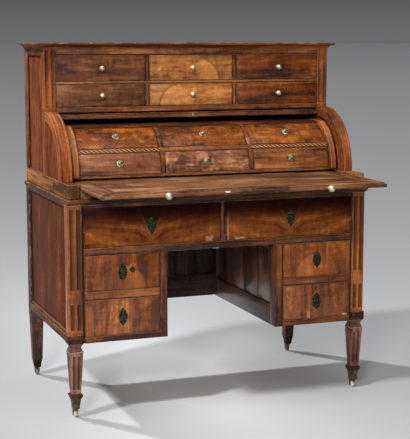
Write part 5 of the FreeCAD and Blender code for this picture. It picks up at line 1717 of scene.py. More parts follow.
@dataclass(frozen=True)
class Panels:
    """The thin panels of both carcasses, with the mouldings that hold them."""

    lower: LowerCarcass
    thick: float = 0.010
    recess: float = 0.008
    upper_recess: float = 0.007
    back_thick: float = 0.007
    upper_post: float = 0.044
    upper_rail: float = 0.022
    bead: float = 0.005
    quarter_inner: float = 0.175
    quarter_steps: int = 20
    plank_ease: float = 0.0016
    plank_tones: tuple[float, ...] = (0.08, -0.1, 0.02, -0.15)
    lower_tone: float = -0.38
    upper_tone: float = 0.3
    bead_tone: float = -0.12

    def build(self) -> None:
        """Makes every panel as one piece."""
        stock = Stock("Frame_panels", PANELS, KNEEHOLE, BACKING, BEAD)
        lower = self.lower
        top = high("pedestal_drawer_right_upper").z + GAP
        middle = (2 * LEVELS.back_face + lower.back) / 2
        back = around(middle, self.back_thick / 2)
        for side in Side:
            self._side(stock, side)
            self._knee(stock, side, top)
            self._upper(stock, side)
            stock.board(
                side.span(lower.back_stile, lower.post_inner - lower.back_stile), back,
                (LEVELS.carcass_bottom + lower.back_bottom, LEVELS.waist - lower.back_top), UPRIGHT, 2)
            stock.board(
                side.span(lower.back_stile, LEVELS.upper_inner), back,
                (LEVELS.plinth_top + lower.back_top, LEVELS.body_top - lower.back_top), UPRIGHT, 2)
        stock.done("frame_panels")

    def _side(self, stock: Stock, side: Side) -> None:
        """Adds a lower side panel and the beads round it.

        Args:
            stock: the piece that it goes into.
            side: the half of the desk that it stands in.
        """
        face = LEVELS.half - self.recess
        deep = (LEVELS.front + self.lower.post, LEVELS.back - self.lower.post)
        tall = (LEVELS.carcass_bottom + self.lower.side_bottom, LEVELS.waist - self.lower.side_top)
        stock.board(side.span(face - self.thick, face), deep, tall, UPRIGHT, tone=self.lower_tone)
        self._beads(stock, side.span(face, face + self.bead), deep, tall)

    def _beads(self, stock: Stock, across: Span, deep: Span, tall: Span) -> None:
        """Adds four rounded beads round a panel that faces sideways.

        Args:
            stock: the piece that it goes into.
            across: where they lie from left to right.
            deep: where the panel lies from front to back.
            tall: where it lies from bottom to top.
        """
        ease = self.bead * 0.42
        for span in (onward(deep[0], self.bead), upto(deep[1], self.bead)):
            stock.board(across, span, tall, UPRIGHT, 3, ease, self.bead_tone)
        inner = (deep[0] + self.bead, deep[1] - self.bead)
        for span in (onward(tall[0], self.bead), upto(tall[1], self.bead)):
            stock.board(across, inner, span, DEEP, 3, ease, self.bead_tone)

    def _knee(self, stock: Stock, side: Side, top: float) -> None:
        """Adds the upright planks of a kneehole cheek.

        Args:
            stock: the piece that it goes into.
            side: the half of the desk that it stands in.
            top: how high the kneehole is.
        """
        lower = self.lower
        edge = lower.inner - lower.stile + self.recess
        deep = (LEVELS.front + lower.stile_depth, LEVELS.back - lower.post)
        tall = (LEVELS.carcass_bottom + lower.knee_bottom, top - lower.knee_top)
        width = (deep[1] - deep[0]) / len(self.plank_tones)
        for number, tone in enumerate(self.plank_tones):
            plank = (deep[0] + number * width, deep[0] + (number + 1) * width)
            stock.board(side.span(edge, edge + self.thick), plank, tall, UPRIGHT, 1, self.plank_ease, tone)

    def _upper(self, stock: Stock, side: Side) -> None:
        """Adds the upper side panel with its beads and the quarter panel in front of it.

        Args:
            stock: the piece that it goes into.
            side: the half of the desk that it stands in.
        """
        face = LEVELS.upper_half - self.upper_recess
        across = side.span(face - self.thick, face)
        deep = (LEVELS.upper_front + self.upper_post, LEVELS.back - self.upper_post)
        tall = (LEVELS.plinth_top, LEVELS.body_top - self.upper_rail)
        stock.board(across, deep, tall, UPRIGHT, tone=self.upper_tone)
        self._beads(stock, side.span(face, face + self.bead), deep, tall)
        curl, radius = LEVELS.curl, self.quarter_inner
        outline = curl.arc(radius, curl.level(radius, LEVELS.plinth_top), math.pi / 2, self.quarter_steps)
        outline += [(LEVELS.upper_front, curl.z + radius), (LEVELS.upper_front, LEVELS.plinth_top)]
        stock.slab(across, outline, UPRIGHT, tone=self.upper_tone)


@dataclass(frozen=True)
class WaistPlate:
    """The slab between the carcasses, with the moulding under it."""

    border: float = 0.05
    mould: tuple[tuple[float, float], ...] = (
        (0.0, 0.0), (0.0013, 0.0008), (0.0016, 0.0024), (0.0034, 0.0052), (0.0046, 0.006), (0.0055, 0.0064),
        (0.006, 0.0078), (0.006, 0.0155), (0.0052, 0.0172), (0.0035, 0.018))
    front_share: float = 13 / 6

    def build(self) -> None:
        """Makes the plate with mitred edges."""
        stock = Stock("Waist_plate", MOULDING)
        profile = [(-self.border, 0.0), *self.mould, (-self.border, self.mould[-1][1])]
        stock.mitred(profile, LEVELS.half, LEVELS.front, LEVELS.back, LEVELS.waist, self.front_share)
        stock.done("waist_plate")


@dataclass(frozen=True)
class Plinth:
    """The bases of the upper carcass and the runners of the slide."""

    setback: float = 0.002
    rail_setback: float = 0.012
    rail: float = 0.024
    runner: float = 0.050
    gap: float = 0.0003
    back: float = 0.016

    def build(self) -> None:
        """Makes the plinth."""
        stock = Stock("Plinth", PLINTH, MOULDING, OAK, BACKING)
        bottom, top = LEVELS.plate_top, LEVELS.plinth_top
        slide = low("writing_slide").z - self.gap
        inner, outer = LEVELS.upper_inner, LEVELS.upper_half
        stock.board(both(inner), onward(LEVELS.back_face, self.back), (bottom, top), ACROSS, 3)
        stock.board(both(inner - self.runner), LEVELS.deep(self.rail_setback, self.rail_setback + self.rail),
                    (bottom, slide), ACROSS, 1)
        for side in Side:
            deep = (LEVELS.front + self.setback, LEVELS.back)
            stock.board(side.span(inner, outer), deep, (bottom, top), DEEP, edge=0.002)
            stock.board(side.span(inner - self.runner, inner),
                        (LEVELS.front + self.rail_setback, LEVELS.back_face), (bottom, slide), DEEP, 2)
        stock.done("plinth")


@dataclass(frozen=True)
class UpperFrame:
    """Posts, fluted quarter posts, rails and pivot bearings of the upper carcass."""

    post_depth: float = 0.044
    rail: float = 0.022
    side_rail: float = 0.024
    back: float = 0.016
    back_rail: float = 0.060
    back_stile: float = 0.036
    ring: Span = (0.175, 0.210)
    reveal: float = 0.003
    bearing: float = 0.026
    bearing_width: float = 0.022
    fluting: Fluting = Fluting(0.010, 0.003, 0.011)
    ease: float = 0.0015
    end: float = 0.010

    def build(self) -> None:
        """Makes the frame."""
        stock = Stock("Upper_frame", RINGS, MOULDING, BACKING)
        bottom, top = LEVELS.plinth_top, LEVELS.body_top
        back = onward(LEVELS.back_face, self.back)
        inner, outer = LEVELS.upper_inner, LEVELS.upper_half
        stock.board(both(inner), back, onward(bottom, self.back_rail), ACROSS, 2)
        stock.board(both(inner), back, upto(top, self.back_rail), ACROSS, 2)
        stock.board(both(self.back_stile), back, (bottom + self.back_rail, top - self.back_rail), UPRIGHT, 2)
        for side in Side:
            self._front_post(stock, side)
            self._quarter(stock, side)
            rear = upto(LEVELS.back, self.post_depth)
            stock.board(side.span(inner, outer), rear, (bottom, top), UPRIGHT, edge=0.0015)
            between = (LEVELS.upper_front + self.post_depth, rear[0])
            stock.board(side.span(outer - self.side_rail, outer), between, upto(top, self.rail), DEEP)
            stock.board(
                side.span(inner, inner + self.bearing_width), upto(LEVELS.upper_front, self.bearing),
                onward(bottom, self.bearing), DEEP, 1, 0.002)
        stock.done("upper_frame")

    def _front_post(self, stock: Stock, side: Side) -> None:
        """Adds the fluted post that stands beside the drawer case.

        Args:
            stock: the piece that it goes into.
            side: the half of the desk that it stands in.
        """
        inner, outer = LEVELS.upper_inner, LEVELS.upper_half
        half = ((outer - inner) / 2, self.post_depth / 2)
        section = Section(side.value * (inner + outer) / 2, LEVELS.upper_front + half[1], self.fluting, (0,))
        case_floor = low("case_drawer_left_lower").z
        foot = Section(section.x, section.y)
        stock.loft([foot.ring(half, LEVELS.plinth_top), foot.ring(half, case_floor)],
                   foot.cut(half, LEVELS.plinth_top, case_floor), 0)
        rings = section.stopped([(case_floor, half), (LEVELS.body_top, half)], (self.end, self.end))
        # The flutes take the darker moulding finish as painted shade in their hollows.
        stock.loft(rings, section.cut(half, case_floor, LEVELS.body_top), coats=section.coats(0, 1))

    def _quarter(self, stock: Stock, side: Side) -> None:
        """Adds the quarter-round post with its two grooves.

        Args:
            stock: the piece that it goes into.
            side: the half of the desk that it stands in.
        """
        left, right = side.span(LEVELS.upper_inner, LEVELS.upper_half)
        (inner, outer), edge = self.ring, self.ease
        section = [(left + edge, inner), (right - edge, inner), (right, inner + edge), (right, outer - edge),
                   (right - edge, outer)]
        middle = (left + right) / 2
        section += [(middle + across, outer - sunk) for across, sunk in reversed(self.fluting.stops())]
        section += [(left + edge, outer), (left, outer - edge), (left, inner + edge)]
        curl = LEVELS.curl
        start = tuple(curl.level(radius, LEVELS.plinth_top) for radius in self.ring)
        end = tuple(math.pi / 2 + math.asin(self.reveal / radius) for radius in self.ring)
        stock.sweep(curl, (left, right), self.ring, start, end, UPRIGHT, steps=32, profile=section)


@dataclass(frozen=True)
class UpperCase:
    """Rails, shelf and dividers of the drawer case."""

    rail_depth: float = 0.022
    dust: float = 0.008

    def build(self) -> None:
        """Makes the case."""
        stock = Stock("Upper_case", CASE, OAK)
        (floor, shelf_foot), (shelf_top, ceiling) = (
            opening(f"case_drawer_left_{row}") for row in ("lower", "upper"))
        shelf = (shelf_foot, shelf_top)
        inner = both(LEVELS.upper_inner)
        front = onward(LEVELS.upper_front, self.rail_depth)
        behind = (front[1], LEVELS.back_face)
        stock.board(inner, front, (low("upper_case").z, floor), ACROSS, tone=0.1, edge=0.003)
        stock.board(inner, front, shelf, ACROSS, tone=0.12)
        stock.board(inner, front, (ceiling, LEVELS.body_top), ACROSS, tone=0.2)
        for top in (floor, shelf[1]):
            stock.board(inner, behind, upto(top, self.dust), ACROSS, 1)
        near = high("case_drawer_middle_lower").x + GAP
        far = low("case_drawer_right_lower").x - GAP
        for side in Side:
            for span in ((floor, shelf[0]), (shelf[1], ceiling)):
                stock.board(side.span(near, far), (front[0], LEVELS.back_face), span, UPRIGHT, tone=-0.15)
        stock.done("upper_case")


@dataclass(frozen=True)
class Cornice:
    """The thin cornice: a hollow under a rounded slab."""

    border: float = 0.06
    hollow: float = 0.011
    slab: float = 0.008
    hollow_foot: float = 0.002
    hollow_head: float = 0.0155
    front_share: float = 1.25
    steps: int = 6

    def build(self) -> None:
        """Makes the cornice with mitred edges."""
        stock = Stock("Cornice", MOULDING)
        foot, head, reach = self.hollow_foot, self.hollow_head, high("cornice").x - LEVELS.upper_half
        profile = [(-self.border, 0.0), (foot, 0.0), (foot + 0.0015, 0.0006)]
        for step in range(self.steps + 1):
            angle = math.pi / 2 * step / self.steps
            out = foot + 0.002 + (head - foot - 0.002) * (1 - math.cos(angle))
            profile.append((out, 0.0012 + (self.hollow - 0.0022) * math.sin(angle)))
        top = self.hollow + self.slab
        profile += [(reach - 0.0015, self.hollow), (reach, self.hollow + 0.0018), (reach, top - 0.0018),
                    (reach - 0.0018, top), (-self.border, top)]
        stock.mitred(profile, LEVELS.upper_half, LEVELS.upper_front, LEVELS.back, LEVELS.body_top,
                     self.front_share, tone=0.3)
        stock.done("cornice")


@dataclass(frozen=True)
class InteriorCase:
    """The round-fronted case under the cylinder, with its rope stringing."""

    side: float = 0.024
    half: float = 0.458
    side_radius: float = 0.181
    lip: float = 0.170
    floor: float = 0.006
    top: float = 0.008
    back: float = 0.006
    lower_depth: float = 0.155
    upper_depth: float = 0.072
    behind_shell: float = 0.2055
    slide_gap: float = 0.0055
    rope: float = 0.0082
    line: float = 0.0009
    proud: float = 0.0004
    steps: int = 12
    line_shares: Span = (0.24, 0.76)

    def outline(self, radius: float, tall: Span, back: float) -> list[tuple[float, float]]:
        """Depths and heights of a board whose front follows the cylinder.

        Args:
            radius: how far out its front lies.
            tall: its bottom and top.
            back: its depth behind the axis.

        Returns:
            The outline, from the foot of the front round to the foot of the back.
        """
        curl = LEVELS.curl
        front = curl.arc(radius, *(curl.level(radius, height) for height in tall), self.steps)
        return front + [(curl.y + back, tall[1]), (curl.y + back, tall[0])]

    def build(self) -> None:
        """Makes the case."""
        stock = Stock("Interior_case", INTERIOR, OAK, ROPE, EBONY_AND_KEYHOLE_SHADE, STRINGING)
        curl = LEVELS.curl
        bottom = high("writing_slide").z + self.slide_gap
        floor_top = bottom + self.floor
        lower, upper = (opening(f"interior_drawer_left_{row}") for row in ("lower", "upper"))
        full = both(self.half + self.side)
        inside = both(self.half)
        stock.board(
            full, (curl.y - self.lip, curl.y + self.behind_shell), (bottom, floor_top), ACROSS, tone=0.3)
        stock.board(both(LEVELS.upper_inner), (curl.y + self.behind_shell, LEVELS.back_face),
                    (LEVELS.plinth_top, lower[0]), ACROSS, 1)
        lower_back, upper_back = self.lower_depth + self.back, self.upper_depth + self.back
        for tall, back, tone in (
            ((floor_top, lower[0]), lower_back, 0.25), ((lower[1], upper[0]), lower_back, 0.0),
            (onward(upper[1], self.top), upper_back, -0.45)):
            stock.slab(inside, self.outline(self.lip, tall, back), ACROSS, tone=tone)
        for tall, depth in ((lower, self.lower_depth), (upper, self.upper_depth)):
            stock.board(inside, (curl.y + depth, curl.y + depth + self.back), tall, ACROSS, 1)
        for side in Side:
            self._side(stock, side, (floor_top, upper[1] + self.top))
            for row, tall, depth in (("lower", lower, self.lower_depth), ("upper", upper, self.upper_depth)):
                near = high(f"interior_drawer_middle_{row}").x + GAP
                far = low(f"interior_drawer_right_{row}").x - GAP
                stock.slab(side.span(near, far), self.outline(self.lip, tall, depth), UPRIGHT, tone=-0.25)
            self._stringing(stock, side.span(far, self.half), (lower[1], upper[0]))
        stock.done("interior_case")

    def _side(self, stock: Stock, side: Side, tall: Span) -> None:
        """Adds a round-fronted side board with two lines let into its edge.

        Args:
            stock: the piece that it goes into.
            side: the half of the desk that it stands in.
            tall: where it lies from bottom to top.
        """
        curl, radius = LEVELS.curl, self.side_radius
        front = self.outline(radius, tall, 0)[:-2]
        back = [(2 * curl.y - y, z) for y, z in reversed(front)]
        across = side.span(self.half, self.half + self.side)
        stock.slab(across, front + back, UPRIGHT, tone=0.2)
        start, end = (curl.level(radius, height) for height in tall)
        for share in self.line_shares:
            x = across[0] + (across[1] - across[0]) * share
            stock.sweep(curl, around(x, self.line), (radius - self.line, radius + self.proud / 2),
                        (start, start), (end, end), UPRIGHT, 4, 0.0002, 16)

    def _stringing(self, stock: Stock, across: Span, tall: Span) -> None:
        """Adds the rope inlay and the dark lines above and below it.

        Args:
            stock: the piece that it goes into.
            across: where it lies from left to right.
            tall: the strip that it lies in the middle of.
        """
        curl = LEVELS.curl
        middle = sum(tall) / 2
        base = (self.lip - self.proud, self.lip + self.proud / 2)
        start, end = (curl.level(self.lip, middle + way * self.rope / 2) for way in (-1, 1))
        stock.sweep(curl, across, base, (start, start), (end, end), ACROSS, 2, 0.0002, 3)
        thin = self.line / self.lip
        for angle in (start - 2 * thin, end + thin):
            stock.sweep(
                curl, across, base, (angle, angle), (angle + thin, angle + thin), ACROSS, 3, 0.0002, 1)


@dataclass(frozen=True)
class Cylinder:
    """The coopered shell: twelve staves, the veneer over them and the steel that carries them."""

    staves: int = 12
    thick: float = 0.017
    veneer: float = 0.0012
    lip_angle: float = math.radians(86.8)
    back_angle: float = math.radians(180)
    leaves: int = 6

    def build(self) -> None:
        """Makes the shell and dresses its arms and lock."""
        curl = LEVELS.curl
        half = high("cylinder_shell").x
        inner, outer = curl.radius - self.thick, curl.radius - self.veneer
        stock = Stock("Cylinder_shell", CYLINDER, LIP, BACKING)
        step = (self.back_angle - self.lip_angle) / self.staves
        for number in range(self.staves):
            start = self.lip_angle + number * step
            stock.sweep(curl, both(half), (inner, outer), (start, start), (start + step, start + step),
                        coat=1 if number == 0 else 2, edge=0.0008, steps=3)
        width = 2 * half / self.leaves
        for number in range(self.leaves):
            across = (number * width - half, (number + 1) * width - half)
            stock.sweep(curl, across, (outer, curl.radius), (self.lip_angle,) * 2, (self.back_angle,) * 2,
                        UPRIGHT, 0, 0.0004, 36, tone=0.05 * (-1) ** number)
        stock.done("cylinder_shell")
        recoat(STEEL, "cylinder_arms")
        recoat(LOCK_BRASS, "cylinder_lock")


def ball_profile(radius: float, stem: float = 0.005) -> list[tuple[float, float]]:
    """The profile of a ball knob on a waisted stem, from its foot to its tip.

    Args:
        radius: the ball's radius.
        stem: the height of the stem.

    Returns:
        Radii and heights.
    """
    profile = [(stem * 1.0, 0.0), (stem * 1.18, 0.0004), (stem * 1.18, 0.0012), (stem * 0.8, 0.0019),
               (stem * 0.66, stem * 0.6), (stem * 0.74, stem * 0.92)]
    middle = stem + radius
    start, turn, steps = math.radians(-62), math.radians(140), 12
    for step in range(steps + 1):
        angle = start + turn * step / steps
        profile.append((radius * math.cos(angle), middle + radius * math.sin(angle)))
    return profile + [(radius * 0.16, middle + radius * 0.985), (radius * 0.07, middle + radius)]


@dataclass(frozen=True)
class WritingSlide:
    """The writing slide with its moulded edge and its two knobs."""

    border: float = 0.06
    edge: tuple[tuple[float, float], ...] = (
        (-0.0015, 0.0), (-0.0003, 0.0006), (0.0, 0.0018), (0.0, 0.0085), (-0.0009, 0.0105), (-0.003, 0.0119),
        (-0.006, 0.012), (-0.0062, 0.0152), (-0.0072, 0.0166), (-0.0086, 0.017))
    knob: float = 0.011
    offset: float = 0.277
    lip: float = 0.012

    def build(self) -> None:
        """Makes the slide and its knobs."""
        stock = Stock("Writing_slide", SLIDE)
        start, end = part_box("writing_slide")
        profile = [(-self.border, 0.0), *self.edge, (-self.border, self.edge[-1][1])]
        stock.mitred(profile, end.x, start.y, end.y, start.z, 1.0)
        stock.done("writing_slide")
        places = (Vector((side.value * self.offset, start.y, start.z + self.lip / 2)) for side in Side)
        add_ball_knobs("Slide_knobs", "slide_knobs", self.knob, *places)


@dataclass(frozen=True)
class Joinery:
    """The sides, back and bottom of a drawer behind its front."""

    front: float
    side: float
    bottom: float
    groove: float = 0.004
    drop: float = 0.006

    def drawer(self, node: str, wood: Wood, tone: float, grain: Axis, focus: Vector) -> None:
        """Makes a straight-fronted drawer.

        Args:
            node: the drawer's node.
            wood: the veneer of its front.
            tone: how much paler than that finish it is.
            grain: the way the front's grain runs.
            focus: the middle of the front's figure, from its own middle.
        """
        stock = Stock(node.capitalize(), wood, OAK)
        start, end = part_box(node)
        across, tall = (start.x, end.x), (start.z, end.z - self.drop)
        face, back = start.y + self.front, end.y - self.side
        stock.board(across, (start.y, face), (start.z, end.z), grain, focus=focus, tone=tone)
        for side in self.sides(across):
            stock.board(side, (face, back), tall, DEEP, 1)
        stock.board(across, (back, end.y), tall, ACROSS, 1)
        inner = (start.x + self.side, end.x - self.side)
        stock.board(inner, (face, back), self.floor(start.z), ACROSS, 1, tone=0.08)
        stock.done(node)

    def sides(self, across: Span) -> tuple[Span, Span]:
        """Where the two sides of a drawer lie from left to right."""
        return onward(across[0], self.side), upto(across[1], self.side)

    def floor(self, foot: float) -> Span:
        """Where the bottom of a drawer lies from bottom to top."""
        return onward(foot + self.groove, self.bottom)


def add_ball_knobs(piece: str, node: str, radius: float, *places: Vector) -> None:
    """Makes the ball knobs of one node.

    Args:
        piece: the name of the piece.
        node: the node.
        radius: the balls' radius.
        places: where they stand on a front.
    """
    stock = Stock(piece, KNOB_BRASS)
    for place in places:
        stock.turn(ball_profile(radius), facing(place, FORWARD))
    stock.done(node)


@dataclass(frozen=True)
class Escutcheon:
    """A dark bronze keyhole plate: a lozenge with a scalloped rim and a raised middle."""

    half: Span = (0.0168, 0.030)
    thick: float = 0.0015
    hole: float = 0.003
    slot: float = 0.00125
    slot_length: float = 0.009
    scallops: int = 12
    fullness: float = 1.7
    steps: int = 96
    relief: Profile = (
        (0.0, 0.0), (0.0, 0.7), (0.16, 1.0), (0.45, 0.72), (0.6, 0.5), (0.72, 0.85), (0.9, 0.8), (1.0, 0.35),
        (1.0, 0.0))

    def rim(self, angle: float) -> float:
        """How far the plate reaches at an angle from its middle.

        Args:
            angle: the angle in radians, from the right and up.

        Returns:
            The reach.
        """
        wide, tall = self.half
        power = self.fullness
        parts = abs(math.cos(angle) / wide) ** power + abs(math.sin(angle) / tall) ** power
        return parts ** (-1 / power) * (0.93 + 0.07 * math.cos(self.scallops * angle))

    def keyhole(self, angle: float) -> float:
        """How far the keyhole reaches at an angle from its middle.

        Args:
            angle: the angle in radians, from the right and up.

        Returns:
            The reach.
        """
        if math.sin(angle) > -0.5:
            return self.hole
        along = self.slot_length / -math.sin(angle)
        aside = self.slot / max(abs(math.cos(angle)), 1e-4)
        return max(self.hole, min(along, aside))

    def add(self, stock: Stock, place: Vector, dark: int) -> None:
        """Adds a plate on a drawer's face, and a near-black block in the keyhole as painted shade.

        Args:
            stock: the piece that it goes into.
            place: its middle, on the face.
            dark: the finish of the painted shade in the hole.
        """
        rings = []
        for share, rise in self.relief:
            ring = []
            for i in range(self.steps):
                angle = math.tau * i / self.steps
                out = self.keyhole(angle) + (self.rim(angle) - self.keyhole(angle)) * share
                ring.append(
                    place + Vector((out * math.cos(angle), -self.thick * rise, out * math.sin(angle))))
            rings.append(ring)
        reach = Vector((self.half[0], self.thick, self.half[1]))
        stock.loft(rings, Cut(place.copy(), reach), wrap=True)
        # Painted shade: a near-black block fills the keyhole, where the hole would be dark.
        stock.board(
            around(place.x, self.hole * 1.1), (place.y - self.thick * 0.2, place.y + self.thick),
            (place.z - self.slot_length * 1.04, place.z + self.hole * 1.1), UPRIGHT, dark, 0.0001)


@dataclass(frozen=True)
class LockedDrawers:
    """The two frieze drawers and the four pedestal drawers, with their locks and plates."""

    joinery: Joinery = Joinery(0.020, 0.010, 0.006)
    lock: Triple = (0.062, 0.011, 0.044)
    frieze_lock: float = 0.250
    plate: Escutcheon = Escutcheon()

    def build(self) -> None:
        """Makes the six drawers."""
        mended = replace(ARCHED, name="mended arched veneer", pattern_side=1, patches=(
            Patch((0.031, 0.070), (0.016, 0.016), "c98a58", True, 0.5),
            Patch((0.034, 0.067), (0.013, 0.013), "2c0f06", True, 1.0),
            Patch((0.002, 0.022), (0.0012, 0.014), "4a1d14", share=0.7)))
        patched = replace(LOWER_FRONT, name="patched lower veneer", patches=(
            Patch((-0.030, -0.046), (0.006, 0.012), "c98f62", share=0.6, torn=0.2),
            Patch((0.110, -0.056), (0.008, 0.004), "dcc6aa", torn=0.8)))
        left_frieze = replace(FRIEZE, name="left frieze veneer", patches=(
            Patch((0.222, 0.0), (0.022, 0.09), "b46f34", share=0.16),
            Patch((0.202, -0.056), (0.011, 0.009), "c89c78", share=0.6, torn=1.0)))
        right_frieze = replace(FRIEZE, name="right frieze veneer", patches=(
            Patch((-0.205, 0.0), (0.018, 0.09), "b46f34", share=0.16),
            Patch((-0.230, -0.02), (0.004, 0.055), "b8906c", share=0.5, torn=1.0),
            Patch((-0.185, -0.060), (0.016, 0.005), "c89c78", share=0.6, torn=1.0)))
        fronts = {
            "pedestal_drawer_left_upper": (mended, -0.18), "pedestal_drawer_left_lower": (LOWER_FRONT, -0.1),
            "pedestal_drawer_right_upper": (ARCHED, 0.18), "pedestal_drawer_right_lower": (patched, 0.06),
            "frieze_drawer_left": (left_frieze, 0.0), "frieze_drawer_right": (right_frieze, 0.05),}
        for node, (wood, tone) in fronts.items():
            start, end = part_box(node)
            middle = Vector(((start.x + end.x) / 2, start.y, (start.z + end.z) / 2))
            lock_x = math.copysign(self.frieze_lock, middle.x) if "frieze" in node else middle.x
            arched = wood.pattern is Pattern.ARCH
            drop = (end.z - start.z) / 2 if arched else 0.0
            focus = Vector((lock_x - middle.x, 0.0, -drop))
            self.joinery.drawer(node, wood, tone, ACROSS if "frieze" in node else UPRIGHT, focus)
            self._lock(f"{node}_lock", Vector((lock_x, start.y, middle.z)))

    def _lock(self, node: str, place: Vector) -> None:
        """Makes one lock case behind the front and the plate on it.

        Args:
            node: the lock's node.
            place: the middle of its plate, on the drawer's face.
        """
        stock = Stock(node.capitalize(), BRONZE, EBONY_AND_KEYHOLE_SHADE, LOCK_BRASS)
        self.plate.add(stock, place, 1)
        wide, thick, tall = self.lock
        behind = place.y + self.joinery.front
        stock.board(
            around(place.x, wide / 2), onward(behind, thick), around(place.z, tall / 2), ACROSS, 2, 0.0012)
        for x_share, z_share in product((-0.38, 0.38), (-0.32, 0.32)):
            screw = Vector((place.x + wide * x_share, behind + thick - 0.0003, place.z + tall * z_share))
            stock.turn([(0.0026, 0.0), (0.0026, 0.0002), (0.0008, 0.0003)], facing(screw, -FORWARD), 2, 12)
        stock.done(node)


@dataclass(frozen=True)
class CaseDrawers:
    """The six drawers of the case on top, each with a ball knob."""

    joinery: Joinery = Joinery(0.014, 0.007, 0.005)
    knob: float = 0.010

    def build(self) -> None:
        """Makes the six drawers and their knobs."""
        mirrored = replace(GOLDEN_FRONT, name="mirrored golden veneer", pattern_side=-1)
        fronts = {"left": ((RED_FRONT, 0.0, 0.0), (RED_FRONT, 0.0, 0.0)),
                  "middle": ((GOLDEN_FRONT, 0.030, -0.08), (mirrored, -0.042, 0.08)),
                  "right": ((BROWN_FRONT, 0.0, 0.05), (BROWN_FRONT, 0.0, 0.0))}
        for column, rows in fronts.items():
            for row, (wood, shift, tone) in zip(("upper", "lower"), rows):
                node = f"case_drawer_{column}_{row}"
                start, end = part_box(node)
                lift = (start.z - end.z) / 2 if shift else 0.0
                self.joinery.drawer(node, wood, tone, ACROSS, Vector((shift, 0.0, lift)))
                place = Vector(((start.x + end.x) / 2, start.y, (start.z + end.z) / 2))
                add_ball_knobs(f"{node.capitalize()}_knob", f"{node}_knob", self.knob, place)


@dataclass(frozen=True)
class InteriorDrawers:
    """The six round-fronted drawers, each with a button on a rosette."""

    radius: float = 0.168
    front: float = 0.013
    joinery: Joinery = Joinery(0.013, 0.007, 0.005)
    rosette: float = 0.013
    petals: int = 10

    def build(self) -> None:
        """Makes the six drawers and their knobs."""
        fronts = {
            "left_upper": (BURR_FRONT, 0.05), "middle_upper": (BURR_FRONT, -0.1),
            "right_upper": (BURR_FRONT, -0.22), "left_lower": (SMOOTH_FRONT, 0.05),
            "middle_lower": (PATCHY_FRONT, 0.0), "right_lower": (DARK_FRONT, 0.0),}
        for word, (wood, tone) in fronts.items():
            node = f"interior_drawer_{word}"
            start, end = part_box(node)
            angle = self._drawer(node, wood, tone, start, end)
            outward = Vector((0, -math.cos(angle), math.sin(angle)))
            place = LEVELS.curl.at((start.x + end.x) / 2, self.radius, angle)
            stock = Stock(f"{node.capitalize()}_knob", ROSETTE_BRASS)
            seat = facing(place, outward)
            stock.turn([(0.0125, 0.0), (self.rosette, 0.0005), (self.rosette, 0.0011), (0.0098, 0.0019),
                        (0.0086, 0.0013), (0.006, 0.002)], seat, steps=60, lobes=self.petals,
                       lobe_depth=0.14)
            stock.turn([(0.0042, 0.001), (0.003, 0.0026), (0.0028, 0.0052), (0.0042, 0.0062),
                        (0.006, 0.0074), (0.006, 0.0094), (0.0046, 0.0106), (0.0012, 0.011)], seat)
            stock.done(f"{node}_knob")

    def _drawer(self, node: str, wood: Wood, tone: float, start: Vector, end: Vector) -> float:
        """Makes one drawer.

        Args:
            node: the drawer's node.
            wood: the veneer of its front.
            tone: how much paler than the finish it is.
            start: the lowest corner of its box.
            end: the highest corner.

        Returns:
            The angle at which the middle of the front lies.
        """
        stock = Stock(node.capitalize(), wood, OAK)
        curl, inner = LEVELS.curl, self.radius - self.front
        radii = (inner, self.radius)
        first = tuple(curl.level(radius, start.z) for radius in radii)
        last = tuple(curl.level(radius, end.z) for radius in radii)
        stock.sweep(curl, (start.x, end.x), radii, first, last, steps=12, tone=tone)
        level = (start.z, end.z - self.joinery.drop)
        side, back = self.joinery.side, end.y - self.joinery.side
        case = InteriorCase()
        for across in self.joinery.sides((start.x, end.x)):
            stock.slab(across, case.outline(inner, level, back - curl.y), DEEP, 1)
        stock.board((start.x, end.x), (back, end.y), level, ACROSS, 1)
        floor = case.outline(inner, self.joinery.floor(start.z), back - curl.y)
        stock.slab((start.x + side, end.x - side), floor, ACROSS, 1)
        stock.done(node)
        return (curl.level(self.radius, start.z) + curl.level(self.radius, end.z)) / 2


def add_lamp(name: str, kind: str, way: Vector, **settings: object) -> bpy.types.Object:
    """Adds a lamp.

    Args:
        name: its name.
        kind: SUN or AREA.
        way: the direction in which it shines.
        settings: its other properties by name.

    Returns:
        The lamp, at the middle of the floor.
    """
    data = bpy.data.lights.new(name, kind)
    for key, value in settings.items():
        setattr(data, key, value)
    lamp = bpy.data.objects.new(name, data)
    lamp.rotation_euler = way.to_track_quat("-Z", "Y").to_euler()
    bpy.context.scene.collection.objects.link(lamp)
    return lamp


@dataclass(frozen=True)
class Lamp:
    """A round studio lamp: where it hangs, how large it is and how strong."""

    name: str
    place: Triple
    size: float
    power: float
    aim: Triple = (0.0, 0.1, 0.6)

    def hang(self) -> None:
        """Adds the lamp, turned to what it lights."""
        way = Vector(self.aim) - Vector(self.place)
        lamp = add_lamp(self.name, "AREA", way, shape="DISK", size=self.size, energy=self.power)
        lamp.location = self.place


@dataclass(frozen=True)
class Sun:
    """A distant lamp: where it shines from, how strong it is, and the angle in degrees that it fills."""

    name: str
    source: Triple
    strength: float
    spread: float

    def hang(self) -> None:
        """Adds the lamp, turned to the desk."""
        add_lamp(self.name, "SUN", -Vector(self.source), energy=self.strength,
                 angle=math.radians(self.spread))


